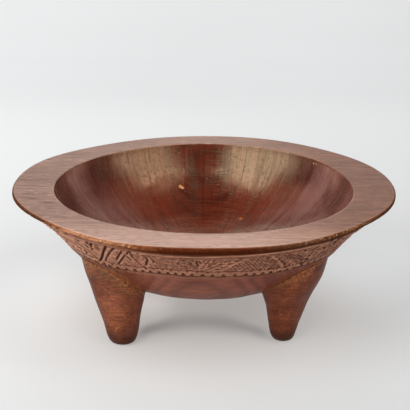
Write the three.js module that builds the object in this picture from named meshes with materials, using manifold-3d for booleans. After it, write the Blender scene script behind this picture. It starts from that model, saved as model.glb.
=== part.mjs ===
// A four-legged wooden kava bowl: a shallow, wide-rimmed bowl turned from one block, four tapered legs whose
// heads are coped to the round of the bowl, and one hidden loose tenon in each leg joint.
// Millimetres, +Z up. The feet stand on z = 0, and the origin is under the middle of the rim's own box.
// -Y is the side that the bowl is seen from, so the front legs are at -Y.
import * as THREE from "three";
import { mergeVertices } from "three/addons/utils/BufferGeometryUtils.js";
import Module from "manifold-3d";

// ---- Driving dimensions ----
const RIM_RADIUS = 200; // mean radius of the rim's outer edge
const MOUTH_RADIUS = 158.7; // mean radius of the rim's inner edge
const RIM_HEIGHT = 142; // top of the rim above the floor
const RIM_EDGE = 3.8; // height of the rim's upright edge
const INSIDE_DEPTH = 90; // rim top to the lowest point inside
const INSIDE_FULLNESS = 1.7; // exponent of the inside curve, 2 is an ellipse
const ROUND_SEGMENTS = 96;
const LEG_SEGMENTS = 32;
const JOINT_GAP = 0.3; // between a leg's head and the bowl

const TENON_RADIUS = 6;
const TENON_CLEARANCE = 0.3; // radial, in both sockets
const TENON_CENTRE = 118; // distance of the upright tenon from the bowl's axis
const TENON_MOUTH = 59.6; // height where the tenon's axis meets the bowl's underside
const TENON_IN_BOWL = 14; // socket depth in the bowl above that height
const TENON_IN_LEG = 25; // socket depth in the leg below it
const TENON_END_SPACE = 0.6; // at each end
const TENON_CHAMFER = 1;

// Hand work leaves the bowl out of round. Each row is [waves per turn, cosine share, sine share] of the radius,
// counted from +X towards +Y.
const RIM_WAVES = [
  [0, -0.0038, 0],
  [1, 0.0005, 0.0032],
  [2, 0.0144, 0.0133],
  [3, -0.0049, 0.0006],
  [4, 0.0049, -0.003],
  [5, 0.002, 0.0032],
  [6, 0.0017, -0.0001],
  [7, 0.0009, -0.0023],
  [8, -0.004, -0.0001],
];
const WALL_WAVES = [
  [0, 0.006, 0],
  [1, -0.0025, 0],
  [2, 0.0168, 0.0065],
  [3, -0.0034, -0.0034],
  [4, 0.0007, -0.0006],
];
const MOUTH_WAVES = [
  [2, -0.0018, 0.009],
  [3, -0.0066, -0.0111],
  [4, -0.0027, -0.0013],
];
const FADE_RADIUS = 80; // inside this radius the underside is turned true

// The outside below the rim, from the middle of the underside to the foot of the rim's bevel: [radius, height].
const OUTSIDE = [
  [0, 32.6],
  [24, 33.1],
  [46, 35],
  [65, 37.8],
  [81.6, 42],
  [95.8, 47.2],
  [108, 53.4],
  [119.2, 60.4],
  [129, 68.4],
  [137, 77.2],
  [144.6, 86.4],
  [152.4, 96.4],
  [160.6, 106.6],
  [169.6, 117.2],
  [179.2, 127.8],
];

// Each leg's oval sections: [height, distance of its centre from the bowl's axis, bearing of its centre in degrees
// away from straight front, half width across, half depth]. The rows above 80 mm lie mostly inside the bowl, and
// the head is cut to the bowl there.
const LEFT_LEG = [
  [0, 125.1, 41.2, 9.9, 9.2],
  [1, 125.1, 41.2, 12.4, 11.5],
  [2.6, 125.1, 41.2, 14, 12.9],
  [5, 125, 41.3, 15.2, 14.1],
  [12, 123.7, 42, 17.1, 16.5],
  [20, 121.8, 43.3, 18.7, 18.6],
  [30, 120.7, 44.4, 21.2, 21.5],
  [40, 119.8, 45.4, 23.9, 24.4],
  [50, 119, 46.4, 26.5, 26.8],
  [60, 118.1, 47.5, 29.9, 29.3],
  [68, 116.7, 48.5, 34.4, 32],
  [76, 114.8, 49, 40, 34.5],
  [84, 113, 49, 44.6, 36],
  [91, 112, 49, 46, 35.4],
  [96, 110, 49, 44, 32],
];
const RIGHT_LEG = [
  [0, 117.6, 44.7, 7.2, 7],
  [1.2, 117.6, 44.7, 9.8, 9.5],
  [3, 117.7, 44.6, 11.5, 11.1],
  [6, 117.7, 44.6, 13.1, 12.2],
  [12, 117.5, 44.9, 15.3, 13.6],
  [20, 117.1, 45.6, 18.1, 14.9],
  [30, 117.2, 46.3, 21.8, 16.8],
  [40, 117.2, 47.1, 25.7, 19],
  [50, 117.3, 47.8, 31.1, 22],
  [60, 117.3, 48.6, 36.1, 26],
  [68, 116, 50.1, 38.7, 29.5],
  [76, 113.8, 51.8, 40.8, 32.8],
  [84, 112.2, 53.1, 42.7, 35.2],
  [91, 111, 54, 44, 35.6],
  [96, 109.5, 54.2, 43, 32.5],
];

const wasm = await Module();
wasm.setup();

// ---- Helpers ----
function waves(list, angle) {
  return list.reduce(
    (sum, [n, c, s]) => sum + c * Math.cos(n * angle) + s * Math.sin(n * angle),
    0,
  );
}

// A closed geometry as a solid for joining and cutting.
function solid(geometry) {
  const bare = geometry.clone();
  bare.deleteAttribute("normal");
  bare.deleteAttribute("uv");
  const merged = mergeVertices(bare, 1e-4);
  const triVerts = [];
  for (let i = 0; i < merged.index.count; i += 3) {
    const [a, b, c] = [0, 1, 2].map((k) => merged.index.getX(i + k));
    if (a !== b && b !== c && c !== a) triVerts.push(a, b, c);
  }
  return new wasm.Manifold(
    new wasm.Mesh({
      numProp: 3,
      vertProperties: new Float32Array(merged.attributes.position.array),
      triVerts: new Uint32Array(triVerts),
    }),
  );
}

function geometryOf(body) {
  const mesh = body.getMesh();
  const geometry = new THREE.BufferGeometry();
  const position = new Float32Array(mesh.numVert * 3);
  for (let i = 0; i < mesh.numVert; i++)
    for (let k = 0; k < 3; k++)
      position[3 * i + k] = mesh.vertProperties[mesh.numProp * i + k];
  geometry.setAttribute("position", new THREE.BufferAttribute(position, 3));
  geometry.setIndex(new THREE.BufferAttribute(new Uint32Array(mesh.triVerts), 1));
  geometry.computeVertexNormals();
  return geometry;
}

// A lathe of rows about +Z, each starting with [radius, height]. place(row, angle) then gives each of its points.
function lathe(rows, segments, place) {
  const geometry = new THREE.LatheGeometry(
    rows.map(([r, z]) => new THREE.Vector2(r, z)),
    segments,
  );
  geometry.rotateX(Math.PI / 2);
  const p = geometry.attributes.position;
  for (let i = 0; i < p.count; i++) {
    const row = rows[i % rows.length];
    const turn = Math.floor(i / rows.length) % segments; // the last column repeats the first
    const angle = (2 * Math.PI * turn) / segments - Math.PI / 2;
    const [x, y, z] = place(row, angle);
    p.setXYZ(i, x, y, z);
  }
  return geometry;
}

// ---- The bowl ----
// Rows are [radius, height, share of the wall's waves, of the rim's, of the mouth's].
function roundPoint([r, z, wall, rim, mouth], angle) {
  const factor =
    1 +
    wall * waves(WALL_WAVES, angle) +
    rim * waves(RIM_WAVES, angle) +
    mouth * waves(MOUTH_WAVES, angle);
  return [r * factor * Math.cos(angle), r * factor * Math.sin(angle), z];
}

const underside = OUTSIDE.map(([r, z]) => [
  r,
  z,
  Math.min(1, r / FADE_RADIUS),
  0,
  0,
]);
const rim = [
  [RIM_RADIUS - 0.9, RIM_HEIGHT - RIM_EDGE - 0.5, 0, 1, 0],
  [RIM_RADIUS, RIM_HEIGHT - RIM_EDGE + 0.5, 0, 1, 0],
  [RIM_RADIUS, RIM_HEIGHT - 1.4, 0, 1, 0],
  [RIM_RADIUS - 0.5, RIM_HEIGHT - 0.4, 0, 1, 0],
  [RIM_RADIUS - 1.5, RIM_HEIGHT, 0, 1, 0],
  [MOUTH_RADIUS + 0.9, RIM_HEIGHT, 0, 0, 1],
  [MOUTH_RADIUS + 0.1, RIM_HEIGHT - 0.4, 0, 0, 1],
];
const INSIDE_STEPS = 11;
const inside = [];
for (let i = 1; i <= INSIDE_STEPS; i++) {
  const depth = Math.sin((Math.PI / 2) * (i / INSIDE_STEPS)) ** 1.15;
  const r =
    i === INSIDE_STEPS
      ? 0
      : MOUTH_RADIUS * Math.sqrt(1 - depth ** INSIDE_FULLNESS);
  inside.push([
    r,
    RIM_HEIGHT - INSIDE_DEPTH * depth,
    0,
    0,
    Math.min(1, r / MOUTH_RADIUS),
  ]);
}
let bowl = solid(
  lathe([...underside, ...rim, ...inside], ROUND_SEGMENTS, roundPoint),
);

// The space that a leg's head keeps clear of: everything inside the bowl's outside, grown by the joint gap.
const grown = OUTSIDE.map(([r, z], i) => {
  const before = OUTSIDE[Math.max(0, i - 1)];
  const after = OUTSIDE[Math.min(OUTSIDE.length - 1, i + 1)];
  const along = new THREE.Vector2(
    after[0] - before[0],
    after[1] - before[1],
  ).normalize();
  const share = Math.min(1, r / FADE_RADIUS);
  if (i === 0) return [0, z - JOINT_GAP, 0, 0, 0];
  return [r + along.y * JOINT_GAP, z - along.x * JOINT_GAP, share, 0, 0];
});
const clear = solid(
  lathe(
    [...grown, [150, RIM_HEIGHT, 1, 0, 0], [0, RIM_HEIGHT, 0, 0, 0]],
    ROUND_SEGMENTS,
    roundPoint,
  ),
);

// ---- The legs ----
// side is -1 for left (-X) and +1 for right; back is +1 for the rear legs (+Y) and -1 for the front ones.
function bearing(degrees, side, back) {
  const a = THREE.MathUtils.degToRad(degrees);
  return new THREE.Vector2(side * Math.sin(a), back * Math.cos(a));
}

function leg(sections, side, back) {
  const rows = [
    [0, sections[0][0], 0],
    ...sections.map((s, i) => [1, s[0], i]),
    [0, sections.at(-1)[0], sections.length - 1],
  ];
  // A unit lathe whose rings are moved and stretched to the sections.
  const geometry = lathe(rows, LEG_SEGMENTS, ([unit, z, i], angle) => {
    const [, centre, degrees, across, deep] = sections[i];
    const out = bearing(degrees, side, back);
    // across is turned a quarter from out the same way round for every leg, so the faces keep pointing out
    const radial = centre + unit * deep * Math.cos(angle);
    const sideways = unit * across * Math.sin(angle);
    return [
      radial * out.x - sideways * out.y,
      radial * out.y + sideways * out.x,
      z,
    ];
  });
  return solid(geometry);
}

// ---- The tenons ----
// An upright round bar from height z0 to z1, on the given bearing.
function bar(radius, z0, z1, chamfer, degrees, side, back) {
  const rows = chamfer
    ? [
        [0, z0],
        [radius - chamfer, z0],
        [radius, z0 + chamfer],
        [radius, z1 - chamfer],
        [radius - chamfer, z1],
        [0, z1],
      ]
    : [
        [0, z0],
        [radius, z0],
        [radius, z1],
        [0, z1],
      ];
  const geometry = new THREE.LatheGeometry(
    rows.map(([r, z]) => new THREE.Vector2(r, z)),
    24,
  );
  const out = bearing(degrees, side, back);
  geometry.rotateX(Math.PI / 2);
  geometry.translate(TENON_CENTRE * out.x, TENON_CENTRE * out.y, 0);
  return solid(geometry);
}

const LEGS = [
  ["front_left", LEFT_LEG, -1, -1, 46.4],
  ["front_right", RIGHT_LEG, 1, -1, 47.8],
  ["rear_left", LEFT_LEG, -1, 1, 46.4],
  ["rear_right", RIGHT_LEG, 1, 1, 47.8],
];

const pieces = [];
for (const [name, sections, side, back, degrees] of LEGS) {
  const r = TENON_RADIUS + TENON_CLEARANCE;
  const place = [degrees, side, back];
  const top = TENON_MOUTH + TENON_IN_BOWL;
  const bottom = TENON_MOUTH - TENON_IN_LEG;
  const socket = bar(r, bottom, top, 0, ...place);
  bowl = bowl.subtract(socket);
  const body = leg(sections, side, back).subtract(clear).subtract(socket);
  const tenon = bar(
    TENON_RADIUS,
    bottom + TENON_END_SPACE,
    top - TENON_END_SPACE,
    TENON_CHAMFER,
    ...place,
  );
  pieces.push(["leg_" + name, body, 0x8a4a2a, 0.5]);
  pieces.push(["tenon_" + name, tenon, 0xb98a5a, 0.8]);
}
pieces.unshift(["bowl_body", bowl, 0x8c5844, 0.45]);

// ---- The assembly ----
const kavaBowl = new THREE.Group();
for (const [name, body, color, roughness] of pieces) {
  const mesh = new THREE.Mesh(
    geometryOf(body),
    new THREE.MeshStandardMaterial({ color, roughness, metalness: 0 }),
  );
  mesh.name = name;
  kavaBowl.add(mesh);
}

// The rim is the widest part, so the middle of its box goes over the origin.
const box = new THREE.Box3().setFromObject(kavaBowl);
const middle = box.getCenter(new THREE.Vector3());
kavaBowl.position.set(-middle.x, -middle.y, 0);

export default kavaBowl;
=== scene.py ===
"""Looks of a four-legged wooden kava bowl: a worn, varnished bowl with a broad rim and a carved band, on four coped
legs with hidden loose tenons. Metres in the scene, millimetres in the tables below."""

import math

import bpy
import numpy as np
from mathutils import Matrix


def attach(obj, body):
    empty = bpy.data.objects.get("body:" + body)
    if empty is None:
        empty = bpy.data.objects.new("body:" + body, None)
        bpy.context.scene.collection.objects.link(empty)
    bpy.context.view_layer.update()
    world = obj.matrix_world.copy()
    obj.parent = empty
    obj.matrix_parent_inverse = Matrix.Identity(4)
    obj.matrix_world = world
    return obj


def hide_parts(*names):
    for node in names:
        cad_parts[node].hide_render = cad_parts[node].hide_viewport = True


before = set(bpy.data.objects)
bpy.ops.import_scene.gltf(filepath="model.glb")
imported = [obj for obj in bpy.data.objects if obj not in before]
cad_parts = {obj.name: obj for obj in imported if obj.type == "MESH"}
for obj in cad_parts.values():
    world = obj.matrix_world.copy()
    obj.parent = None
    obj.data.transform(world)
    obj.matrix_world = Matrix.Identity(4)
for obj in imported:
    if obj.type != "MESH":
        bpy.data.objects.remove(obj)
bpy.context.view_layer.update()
scene = bpy.context.scene

# ---------------------------------------------------------------------------------------------------------------
# The same numbers as the frame's model, in millimetres. The tables count from the middle of the bowl's round, and
# SHIFT takes them to the frame's origin.
# ---------------------------------------------------------------------------------------------------------------
SHIFT = np.array([0.3, -1.7824, 0.0])
RIM_RADIUS, MOUTH_RADIUS, RIM_HEIGHT, RIM_EDGE = 200.0, 158.7, 142.0, 3.8
INSIDE_DEPTH, INSIDE_FULLNESS = 90.0, 1.7
JOINT_GAP = 0.35
TENON_RADIUS, TENON_CLEARANCE, TENON_CENTRE = 6.0, 0.3, 118.0
TENON_MOUTH, TENON_IN_BOWL, TENON_IN_LEG = 59.6, 14.0, 25.0

RIM_WAVES = [
    (0, -0.0038, 0), (1, 0.0005, 0.0032), (2, 0.0144, 0.0133), (3, -0.0049, 0.0006), (4, 0.0049, -0.003),
    (5, 0.002, 0.0032), (6, 0.0017, -0.0001), (7, 0.0009, -0.0023), (8, -0.004, -0.0001),
]
WALL_WAVES = [(0, 0.006, 0), (1, -0.0025, 0), (2, 0.0168, 0.0065), (3, -0.0034, -0.0034), (4, 0.0007, -0.0006)]
MOUTH_WAVES = [(2, -0.0018, 0.009), (3, -0.0066, -0.0111), (4, -0.0027, -0.0013)]
FADE_RADIUS = 80.0

OUTSIDE = np.array([
    [0, 32.6], [24, 33.1], [46, 35], [65, 37.8], [81.6, 42], [95.8, 47.2], [108, 53.4], [119.2, 60.4], [129, 68.4],
    [137, 77.2], [144.6, 86.4], [152.4, 96.4], [160.6, 106.6], [169.6, 117.2], [179.2, 127.8],
], float)

LEFT_LEG = np.array([
    [0, 125.1, 41.2, 9.9, 9.2], [1, 125.1, 41.2, 12.4, 11.5], [2.6, 125.1, 41.2, 14, 12.9],
    [5, 125, 41.3, 15.2, 14.1], [12, 123.7, 42, 17.1, 16.5], [20, 121.8, 43.3, 18.7, 18.6],
    [30, 120.7, 44.4, 21.2, 21.5], [40, 119.8, 45.4, 23.9, 24.4], [50, 119, 46.4, 26.5, 26.8],
    [60, 118.1, 47.5, 29.9, 29.3], [68, 116.7, 48.5, 34.4, 32], [76, 114.8, 49, 40, 34.5],
    [84, 113, 49, 44.6, 36], [91, 112, 49, 46, 35.4], [96, 110, 49, 44, 32],
], float)
RIGHT_LEG = np.array([
    [0, 117.6, 44.7, 7.2, 7], [1.2, 117.6, 44.7, 9.8, 9.5], [3, 117.7, 44.6, 11.5, 11.1],
    [6, 117.7, 44.6, 13.1, 12.2], [12, 117.5, 44.9, 15.3, 13.6], [20, 117.1, 45.6, 18.1, 14.9],
    [30, 117.2, 46.3, 21.8, 16.8], [40, 117.2, 47.1, 25.7, 19], [50, 117.3, 47.8, 31.1, 22],
    [60, 117.3, 48.6, 36.1, 26], [68, 116, 50.1, 38.7, 29.5], [76, 113.8, 51.8, 40.8, 32.8],
    [84, 112.2, 53.1, 42.7, 35.2], [91, 111, 54, 44, 35.6], [96, 109.5, 54.2, 43, 32.5],
], float)
LEGS = [
    ("front_left", LEFT_LEG, -1, -1, 46.4, 11),
    ("front_right", RIGHT_LEG, 1, -1, 47.8, 12),
    ("rear_left", LEFT_LEG, -1, 1, 46.4, 13),
    ("rear_right", RIGHT_LEG, 1, 1, 47.8, 14),
]

# ---------------------------------------------------------------------------------------------------------------
# The carved band. A place on it is (bearing in degrees from straight front, + to the right; slant height in mm above
# the height of 95 mm). The pattern fills 120 degrees and goes three times round. Each stroke is
# (half width, depth, points), and a negative depth stands proud.
# ---------------------------------------------------------------------------------------------------------------
STROKES = [
    (1.3, 1, [(-48.18, 40.2), (-46.33, 41.2), (-45.3, 39.7), (-44.64, 37.8), (-43.28, 36.7), (-42.44, 34.6), (-41.89, 33.2), (-41.44, 29.6), (-40.96, 26)]),
    (1.1, 0.8, [(-51.71, 28.7), (-50.49, 27.9), (-49.96, 25.2), (-49.42, 23.4), (-48.89, 21.6), (-48.93, 18.1), (-48.96, 14.6)]),
    (0.8, 0.5, [(-54.47, 15.3), (-54.43, 11.3), (-55.29, 5.1), (-56.16, -1)]),
    (0.8, 0.5, [(-45.92, 29.2), (-45.06, 26.9), (-44.44, 23.8), (-43.72, 19.1), (-42.77, 13.3), (-41.89, 6.9)]),
    (0.8, 0.45, [(-50.62, 9.8), (-49.9, 6.5), (-49.12, 1.6), (-47.75, -1.7)]),
    (0.8, 0.5, [(-44.16, 21.2), (-43.29, 17), (-42.27, 11.3), (-41.18, 5.7)]),
    (1.6, 1.4, [(-38.29, 40.1), (-39.08, 34.4)]),
    (1.8, 1.7, [(-36.87, 37.7), (-38.63, 31.6)]),
    (1.2, 1, [(-38.69, 31), (-39.03, 27.4), (-39.37, 23.4)]),
    (1, 0.7, [(-44.97, 25.5), (-45.03, 22.4)]),
    (1.5, 1.3, [(-47.87, 15.7), (-48.03, 13.1)]),
    (1.4, 1.1, [(-45.47, 13.8), (-45.51, 12.5)]),
    (1.3, 1, [(-47.41, 4.9), (-46.88, 4.9)]),
    (1.3, 1, [(-44.7, 4.4), (-44.4, 3.9)]),
    (1, 0.8, [(-53.52, -1.6), (-53.6, -3.4)]),
    (1.1, 0.8, [(-49.12, -6.8), (-47.16, -4)]),
    (0.9, 0.6, [(-46.52, 8.8), (-44.74, 11.5)]),
    (0.9, 0.6, [(-49.36, 5.2), (-49.76, 2.3)]),
    (3.6, 0.3, [(-34.8, 36.5), (-36.38, 27.7)]),
    (1.5, 1.5, [(-30.68, 41.2), (-32.07, 35), (-34.06, 26.9), (-35.97, 19.1), (-38.17, 10.5), (-39.66, 5.7), (-41.69, 0.5)]),
    (1.2, 1, [(-43.02, -2.5), (-43.5, -6.2)]),
    (1.3, 1.2, [(-27.91, 39.1), (-29.05, 36.4), (-30.29, 32.1), (-32.11, 25.5), (-33.89, 18.8), (-35.79, 12.1), (-37.42, 6.1)]),
    (2, 1.3, [(-29.4, 35.9), (-27.91, 40.1)]),
    (1.5, 1.3, [(-39.17, 0.3), (-39.28, -2.3)]),
    (1.5, 1.2, [(-25.66, 37.3), (-27.26, 30.3), (-29.22, 22.2), (-31.03, 15)]),
    (0.9, 0.9, [(-28.58, 30.8), (-27.85, 29.2)]),
    (1, 0.9, [(-30.94, 24), (-29.7, 24.4)]),
    (1, 1, [(-32.19, 19.1), (-31.58, 17.9), (-31.13, 15.8)]),
    (1.2, 1.1, [(-33.84, 9.6), (-33.37, 7.9)]),
    (1.3, 1.1, [(-35.05, 2.3), (-35.02, 0.4)]),
    (0.8, 0.6, [(-27.46, 35.1), (-26.41, 35.3)]),
    (1.3, 1.2, [(-25.43, 30), (-27.05, 23.5), (-28.95, 15.9), (-30.32, 10.8), (-31.53, 6.6)]),
    (0.9, 0.6, [(-27.02, 22.4), (-26.44, 20.9)]),
    (0.8, 0.5, [(-29.11, 10.2), (-28.57, 8.9)]),
    (1.5, 1.3, [(-23.13, 39), (-24.26, 34.8), (-24.74, 31.5)]),
    (1.2, 1.1, [(-25.15, 28.4), (-25.14, 25.4), (-24.99, 22.3), (-24.85, 19.4)]),
    (1.5, 1.4, [(-22.75, 38.6), (-23.18, 32.1), (-23.2, 27.1), (-23.03, 23.5), (-22.78, 20.7), (-22.29, 17.4), (-21.69, 14.3), (-21.16, 11.9)]),
    (1.5, 1.4, [(-20.42, 38), (-19.76, 36.4), (-19.07, 33.4), (-18.54, 30.2), (-18.39, 26.8), (-18.52, 23.8), (-19.1, 19.4), (-19.87, 14.6)]),
    (1.3, 1.1, [(-17.99, 34.5), (-17.42, 33.5), (-16.93, 31.6), (-16.55, 28.3), (-16.42, 24.9), (-16.65, 21.2)]),
    (1.8, 1.5, [(-20.87, 11.6), (-20.58, 9.4), (-20.53, 6.9)]),
    (0.7, 0.45, [(-21.16, 28.9), (-21.14, 25.9)]),
    (0.7, 0.45, [(-19.85, 30.5), (-19.14, 29.5), (-19.62, 25.2), (-20.41, 24.2), (-20.3, 27.4)]),
    (0.8, 0.5, [(-20.57, 17.9), (-20.21, 15.9)]),
    (0.8, 0.45, [(-23.48, 13.5), (-22.38, 13.4)]),
    (0.7, 0.4, [(-28.31, 17.5), (-26.09, 14)]),
    (0.7, 0.4, [(-24.22, 16.7), (-23.13, 10.1)]),
    (0.75, 0.5, [(-15.4, 18.4), (-13.56, 10.7)]),
    (0.75, 0.5, [(-15.09, 23), (-12.36, 11.3)]),
    (0.75, 0.5, [(-14.79, 27.6), (-11.18, 11.9)]),
    (0.75, 0.5, [(-14.48, 32.4), (-10.01, 12.4)]),
    (0.75, 0.5, [(-13.38, 33.1), (-8.85, 12.9)]),
    (0.75, 0.5, [(-12.3, 33.7), (-7.71, 13.3)]),
    (0.75, 0.5, [(-11.23, 34.3), (-6.57, 13.7)]),
    (0.75, 0.5, [(-10.18, 34.9), (-5.44, 14)]),
    (0.75, 0.5, [(-9.14, 35.4), (-4.32, 14.3)]),
    (0.75, 0.5, [(-8.1, 35.8), (-3.21, 14.5)]),
    (0.75, 0.5, [(-7.08, 36.2), (-2.1, 14.7)]),
    (0.75, 0.5, [(-6.07, 36.6), (-2.1, 19.3)]),
    (0.75, 0.5, [(-5.06, 36.9), (-2.09, 23.8)]),
    (0.75, 0.5, [(-4.06, 37.2), (-2.09, 28.2)]),
    (0.8, 0.5, [(-15.84, 22.4), (-14.51, 17.3)]),
    (0.8, 0.5, [(-16.8, 14.8), (-15.33, 10.8)]),
    (1.3, 1.2, [(-7.12, 31.5), (-6.03, 30.2), (-5.14, 28.2), (-4.24, 25.9), (-3.76, 23.6)]),
    (1, 0.9, [(-6.95, 26.9), (-5.86, 24.7), (-4.48, 23.1)]),
    (1, 0.8, [(-8.87, 25.2), (-8.17, 23.3)]),
    (1, 0.8, [(-3.95, 31.4), (-3.25, 28.7)]),
    (1, 0.7, [(-7.65, 19.7), (-5.68, 19.1)]),
    (1, 0.6, [(-4.16, 21.5), (-3.02, 21.4)]),
    (1.5, 1.4, [(-2.1, 31.2), (-1.42, 30), (-1, 26.1)]),
    (1.4, 1.2, [(-2.44, 28.2), (-2.09, 24.7), (-1.86, 20.8)]),
    (0.9, 0.7, [(0.13, 31.5), (-0.43, 27.7)]),
    (0.9, 0.7, [(1.56, 30.7), (0.53, 25.4)]),
    (0.9, 0.6, [(0.54, 23.8), (-0.23, 20.2)]),
    (0.8, 0.5, [(3.46, 31.7), (1.81, 24.7)]),
    (0.8, 0.5, [(2.77, 24.4), (0.89, 18.8)]),
    (0.8, 0.5, [(5.43, 32.1), (3.39, 25.4)]),
    (0.8, 0.5, [(7.54, 33.8), (5.26, 27.2)]),
    (0.8, 0.45, [(9.68, 34.5), (7.96, 31.2)]),
    (0.8, 0.5, [(-1.42, 16.2), (0.24, 17)]),
    (1.5, 1.4, [(1.09, 18.2), (2.06, 19.9)]),
    (1.5, 1.4, [(2.86, 18.8), (4.47, 20.5)]),
    (1.5, 1.4, [(4.91, 23.5), (6.49, 24.5)]),
    (1.5, 1.4, [(6.94, 28.1), (8.21, 29.7)]),
    (1.5, 1.4, [(9.87, 28.2), (10.91, 29)]),
    (1.5, 1.4, [(10.75, 35.3), (12.02, 35)]),
    (1.4, 1.2, [(0.72, 13.4), (1.53, 14.2)]),
    (1.4, 1.2, [(1.52, 14.4), (2.49, 17)]),
    (1.4, 1.2, [(4.22, 14.1), (5.15, 14.6)]),
    (1.4, 1.2, [(5.92, 17.9), (6.69, 18.8)]),
    (1.4, 1.2, [(8.01, 23.7), (8.9, 24.3)]),
    (1.4, 1.2, [(9.78, 19.7), (10.36, 21.3)]),
    (1.4, 1.2, [(11.6, 30.4), (12.2, 31)]),
    (1, -0.55, [(6.37, 12.7), (7.87, 17.6), (9.9, 23.8), (12.15, 29.8), (14.65, 35.2), (17.3, 37.8), (19.9, 37.7)]),
    (1.1, -0.7, [(19.94, 37.2), (21.74, 33), (23.87, 26.9), (26.28, 18.4), (28.43, 9.3), (28.45, 4), (25.94, 3.1)]),
    (0.7, 0.45, [(8.58, 16.9), (9.59, 12.8)]),
    (0.7, 0.45, [(9.45, 19.9), (11.21, 12.3)]),
    (0.7, 0.45, [(10.32, 22.6), (12.81, 11.7)]),
    (0.7, 0.45, [(11.21, 24.7), (14.34, 11.1)]),
    (0.7, 0.45, [(12.08, 26.8), (15.91, 10.4)]),
    (0.7, 0.45, [(12.96, 28.5), (17.46, 9.5)]),
    (0.7, 0.45, [(13.83, 30.2), (19.02, 8.7)]),
    (0.7, 0.45, [(14.69, 31.9), (20.64, 7.7)]),
    (0.7, 0.45, [(15.6, 33), (22.2, 6.6)]),
    (0.7, 0.45, [(16.51, 33.8), (23.78, 5.5)]),
    (0.7, 0.45, [(17.43, 34.6), (25.42, 4.2)]),
    (0.7, 0.45, [(18.42, 34.6), (26.77, 3.6)]),
    (0.7, 0.45, [(19.45, 34.4), (25.71, 11)]),
    (0.7, 0.45, [(20.57, 33.3), (24.8, 17.6)]),
    (0.7, 0.45, [(22.06, 29.4), (24.26, 21.7)]),
    (0.7, 0.45, [(25.59, 18.9), (23.59, 27)]),
    (0.5, 0.25, [(8.67, 14.8), (26.56, 5)]),
    (0.5, 0.25, [(9.37, 18.1), (26.89, 8.1)]),
    (0.5, 0.25, [(10.23, 21.3), (26.81, 11.4)]),
    (0.5, 0.25, [(11.3, 24.4), (25.96, 15.4)]),
    (0.5, 0.25, [(12.55, 27.4), (25.09, 19.6)]),
    (0.5, 0.25, [(13.97, 30.3), (23.8, 24)]),
    (0.5, 0.25, [(15.45, 33.2), (22.46, 28.4)]),
    (1, 0.8, [(20.19, 31.8), (21.04, 28.3)]),
    (1.6, 1.2, [(23.35, 7.5), (24.29, 9.3)]),
    (1.5, 1.1, [(26.33, 7.7), (27.38, 9.8)]),
    (1.4, 1.2, [(24.89, 25.7), (25.54, 23.6)]),
    (1.4, 1.2, [(26.67, 19.4), (27.61, 17.2)]),
    (1.3, 1.1, [(28.49, 14.1), (29.47, 11)]),
    (1.4, 1.1, [(29.68, 7.2), (30.65, 5)]),
    (1.3, 1, [(28.1, -0.2), (29.82, -0.2)]),
    (1.2, 0.9, [(30.55, 0.6), (31.76, 0.3)]),
    (1.6, -0.7, [(24.87, 33), (25.54, 31)]),
    (1.6, -0.7, [(26.66, 27.4), (27.35, 25.5)]),
    (1.6, -0.7, [(28.53, 21.5), (29.28, 19.5)]),
    (1.6, -0.7, [(30.44, 16.6), (31.27, 14.5)]),
    (1.6, -0.7, [(32.79, 11), (33.69, 8.8)]),
    (0.8, 0.6, [(23.79, 35.8), (28.06, 21.8)]),
    (0.8, 0.6, [(24.85, 34.8), (29.31, 20.5)]),
    (0.8, 0.6, [(25.95, 33.7), (30.62, 19.1)]),
    (0.8, 0.6, [(27.09, 32.5), (31.98, 17.7)]),
    (0.8, 0.6, [(28.26, 31.2), (33.41, 16.1)]),
    (0.8, 0.6, [(29.48, 29.9), (34.91, 14.4)]),
    (0.8, 0.6, [(30.75, 28.5), (36.48, 12.6)]),
    (0.8, 0.6, [(32.05, 27.1), (38.16, 10.7)]),
    (0.8, 0.6, [(31.2, 6.8), (31.69, 14.4)]),
    (0.8, 0.6, [(32.55, 6.5), (32.93, 14.6)]),
    (0.8, 0.6, [(33.95, 6.1), (34.2, 14.7)]),
    (0.8, 0.6, [(35.41, 5.6), (35.51, 14.7)]),
    (0.8, 0.6, [(36.94, 5), (36.88, 14.6)]),
    (0.8, 0.6, [(38.56, 4.3), (38.31, 14.3)]),
    (1.3, 1.1, [(32.59, 7.7), (33.72, 7.3)]),
    (1.2, 1, [(32.61, 15.4), (34.24, 12.3)]),
    (1.2, 1, [(35.63, 14.1), (36.76, 12.2)]),
    (1.4, 1.2, [(37.81, 14.1), (38.95, 11.2)]),
    (1.5, 1.2, [(37.98, 18.5), (38.75, 18.4)]),
    (1.2, 0.9, [(37.16, 4.1), (38.65, 3.9)]),
    (1.2, 0.9, [(32.65, 1.3), (34.55, 0.9)]),
    (1, 0.8, [(36.29, 0.2), (38.27, -0.8)]),
    (0.9, 0.8, [(26.06, 38.2), (27.11, 39.3), (29.28, 39.1), (31.69, 37.9), (33.72, 35.2)]),
    (0.9, 0.7, [(26.19, 37.2), (28.2, 32.1), (31.28, 27.2), (33.01, 28.6), (34.01, 33.7)]),
    (1.6, 1.5, [(36.16, 30.4), (37.25, 31.9), (38.6, 33.5), (39.8, 35.8), (40.96, 38.2), (42.23, 40.2), (43.09, 41.3)]),
    (1.3, 1, [(32.53, 36.6), (33.9, 32.7)]),
    (1.3, 1.1, [(40.51, 18.5), (40.81, 21.1)]),
    (1.3, 1.1, [(42.91, 24.8), (43.21, 26.6)]),
    (1.2, 1, [(45.43, 29.7), (45.58, 31.5)]),
    (1.1, 0.8, [(46.84, 37.3), (47.51, 37.8)]),
    (1.1, 0.8, [(33.75, 38.6), (34.47, 38.6)]),
    (0.8, 0.55, [(37.3, 21.9), (37.79, 29.9)]),
    (0.8, 0.55, [(38.53, 22.6), (38.97, 30.6)]),
    (0.8, 0.55, [(39.8, 23.2), (40.2, 31.2)]),
    (0.8, 0.55, [(41.13, 23.7), (41.49, 31.7)]),
    (0.8, 0.55, [(42.54, 24), (42.85, 32.1)]),
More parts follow.
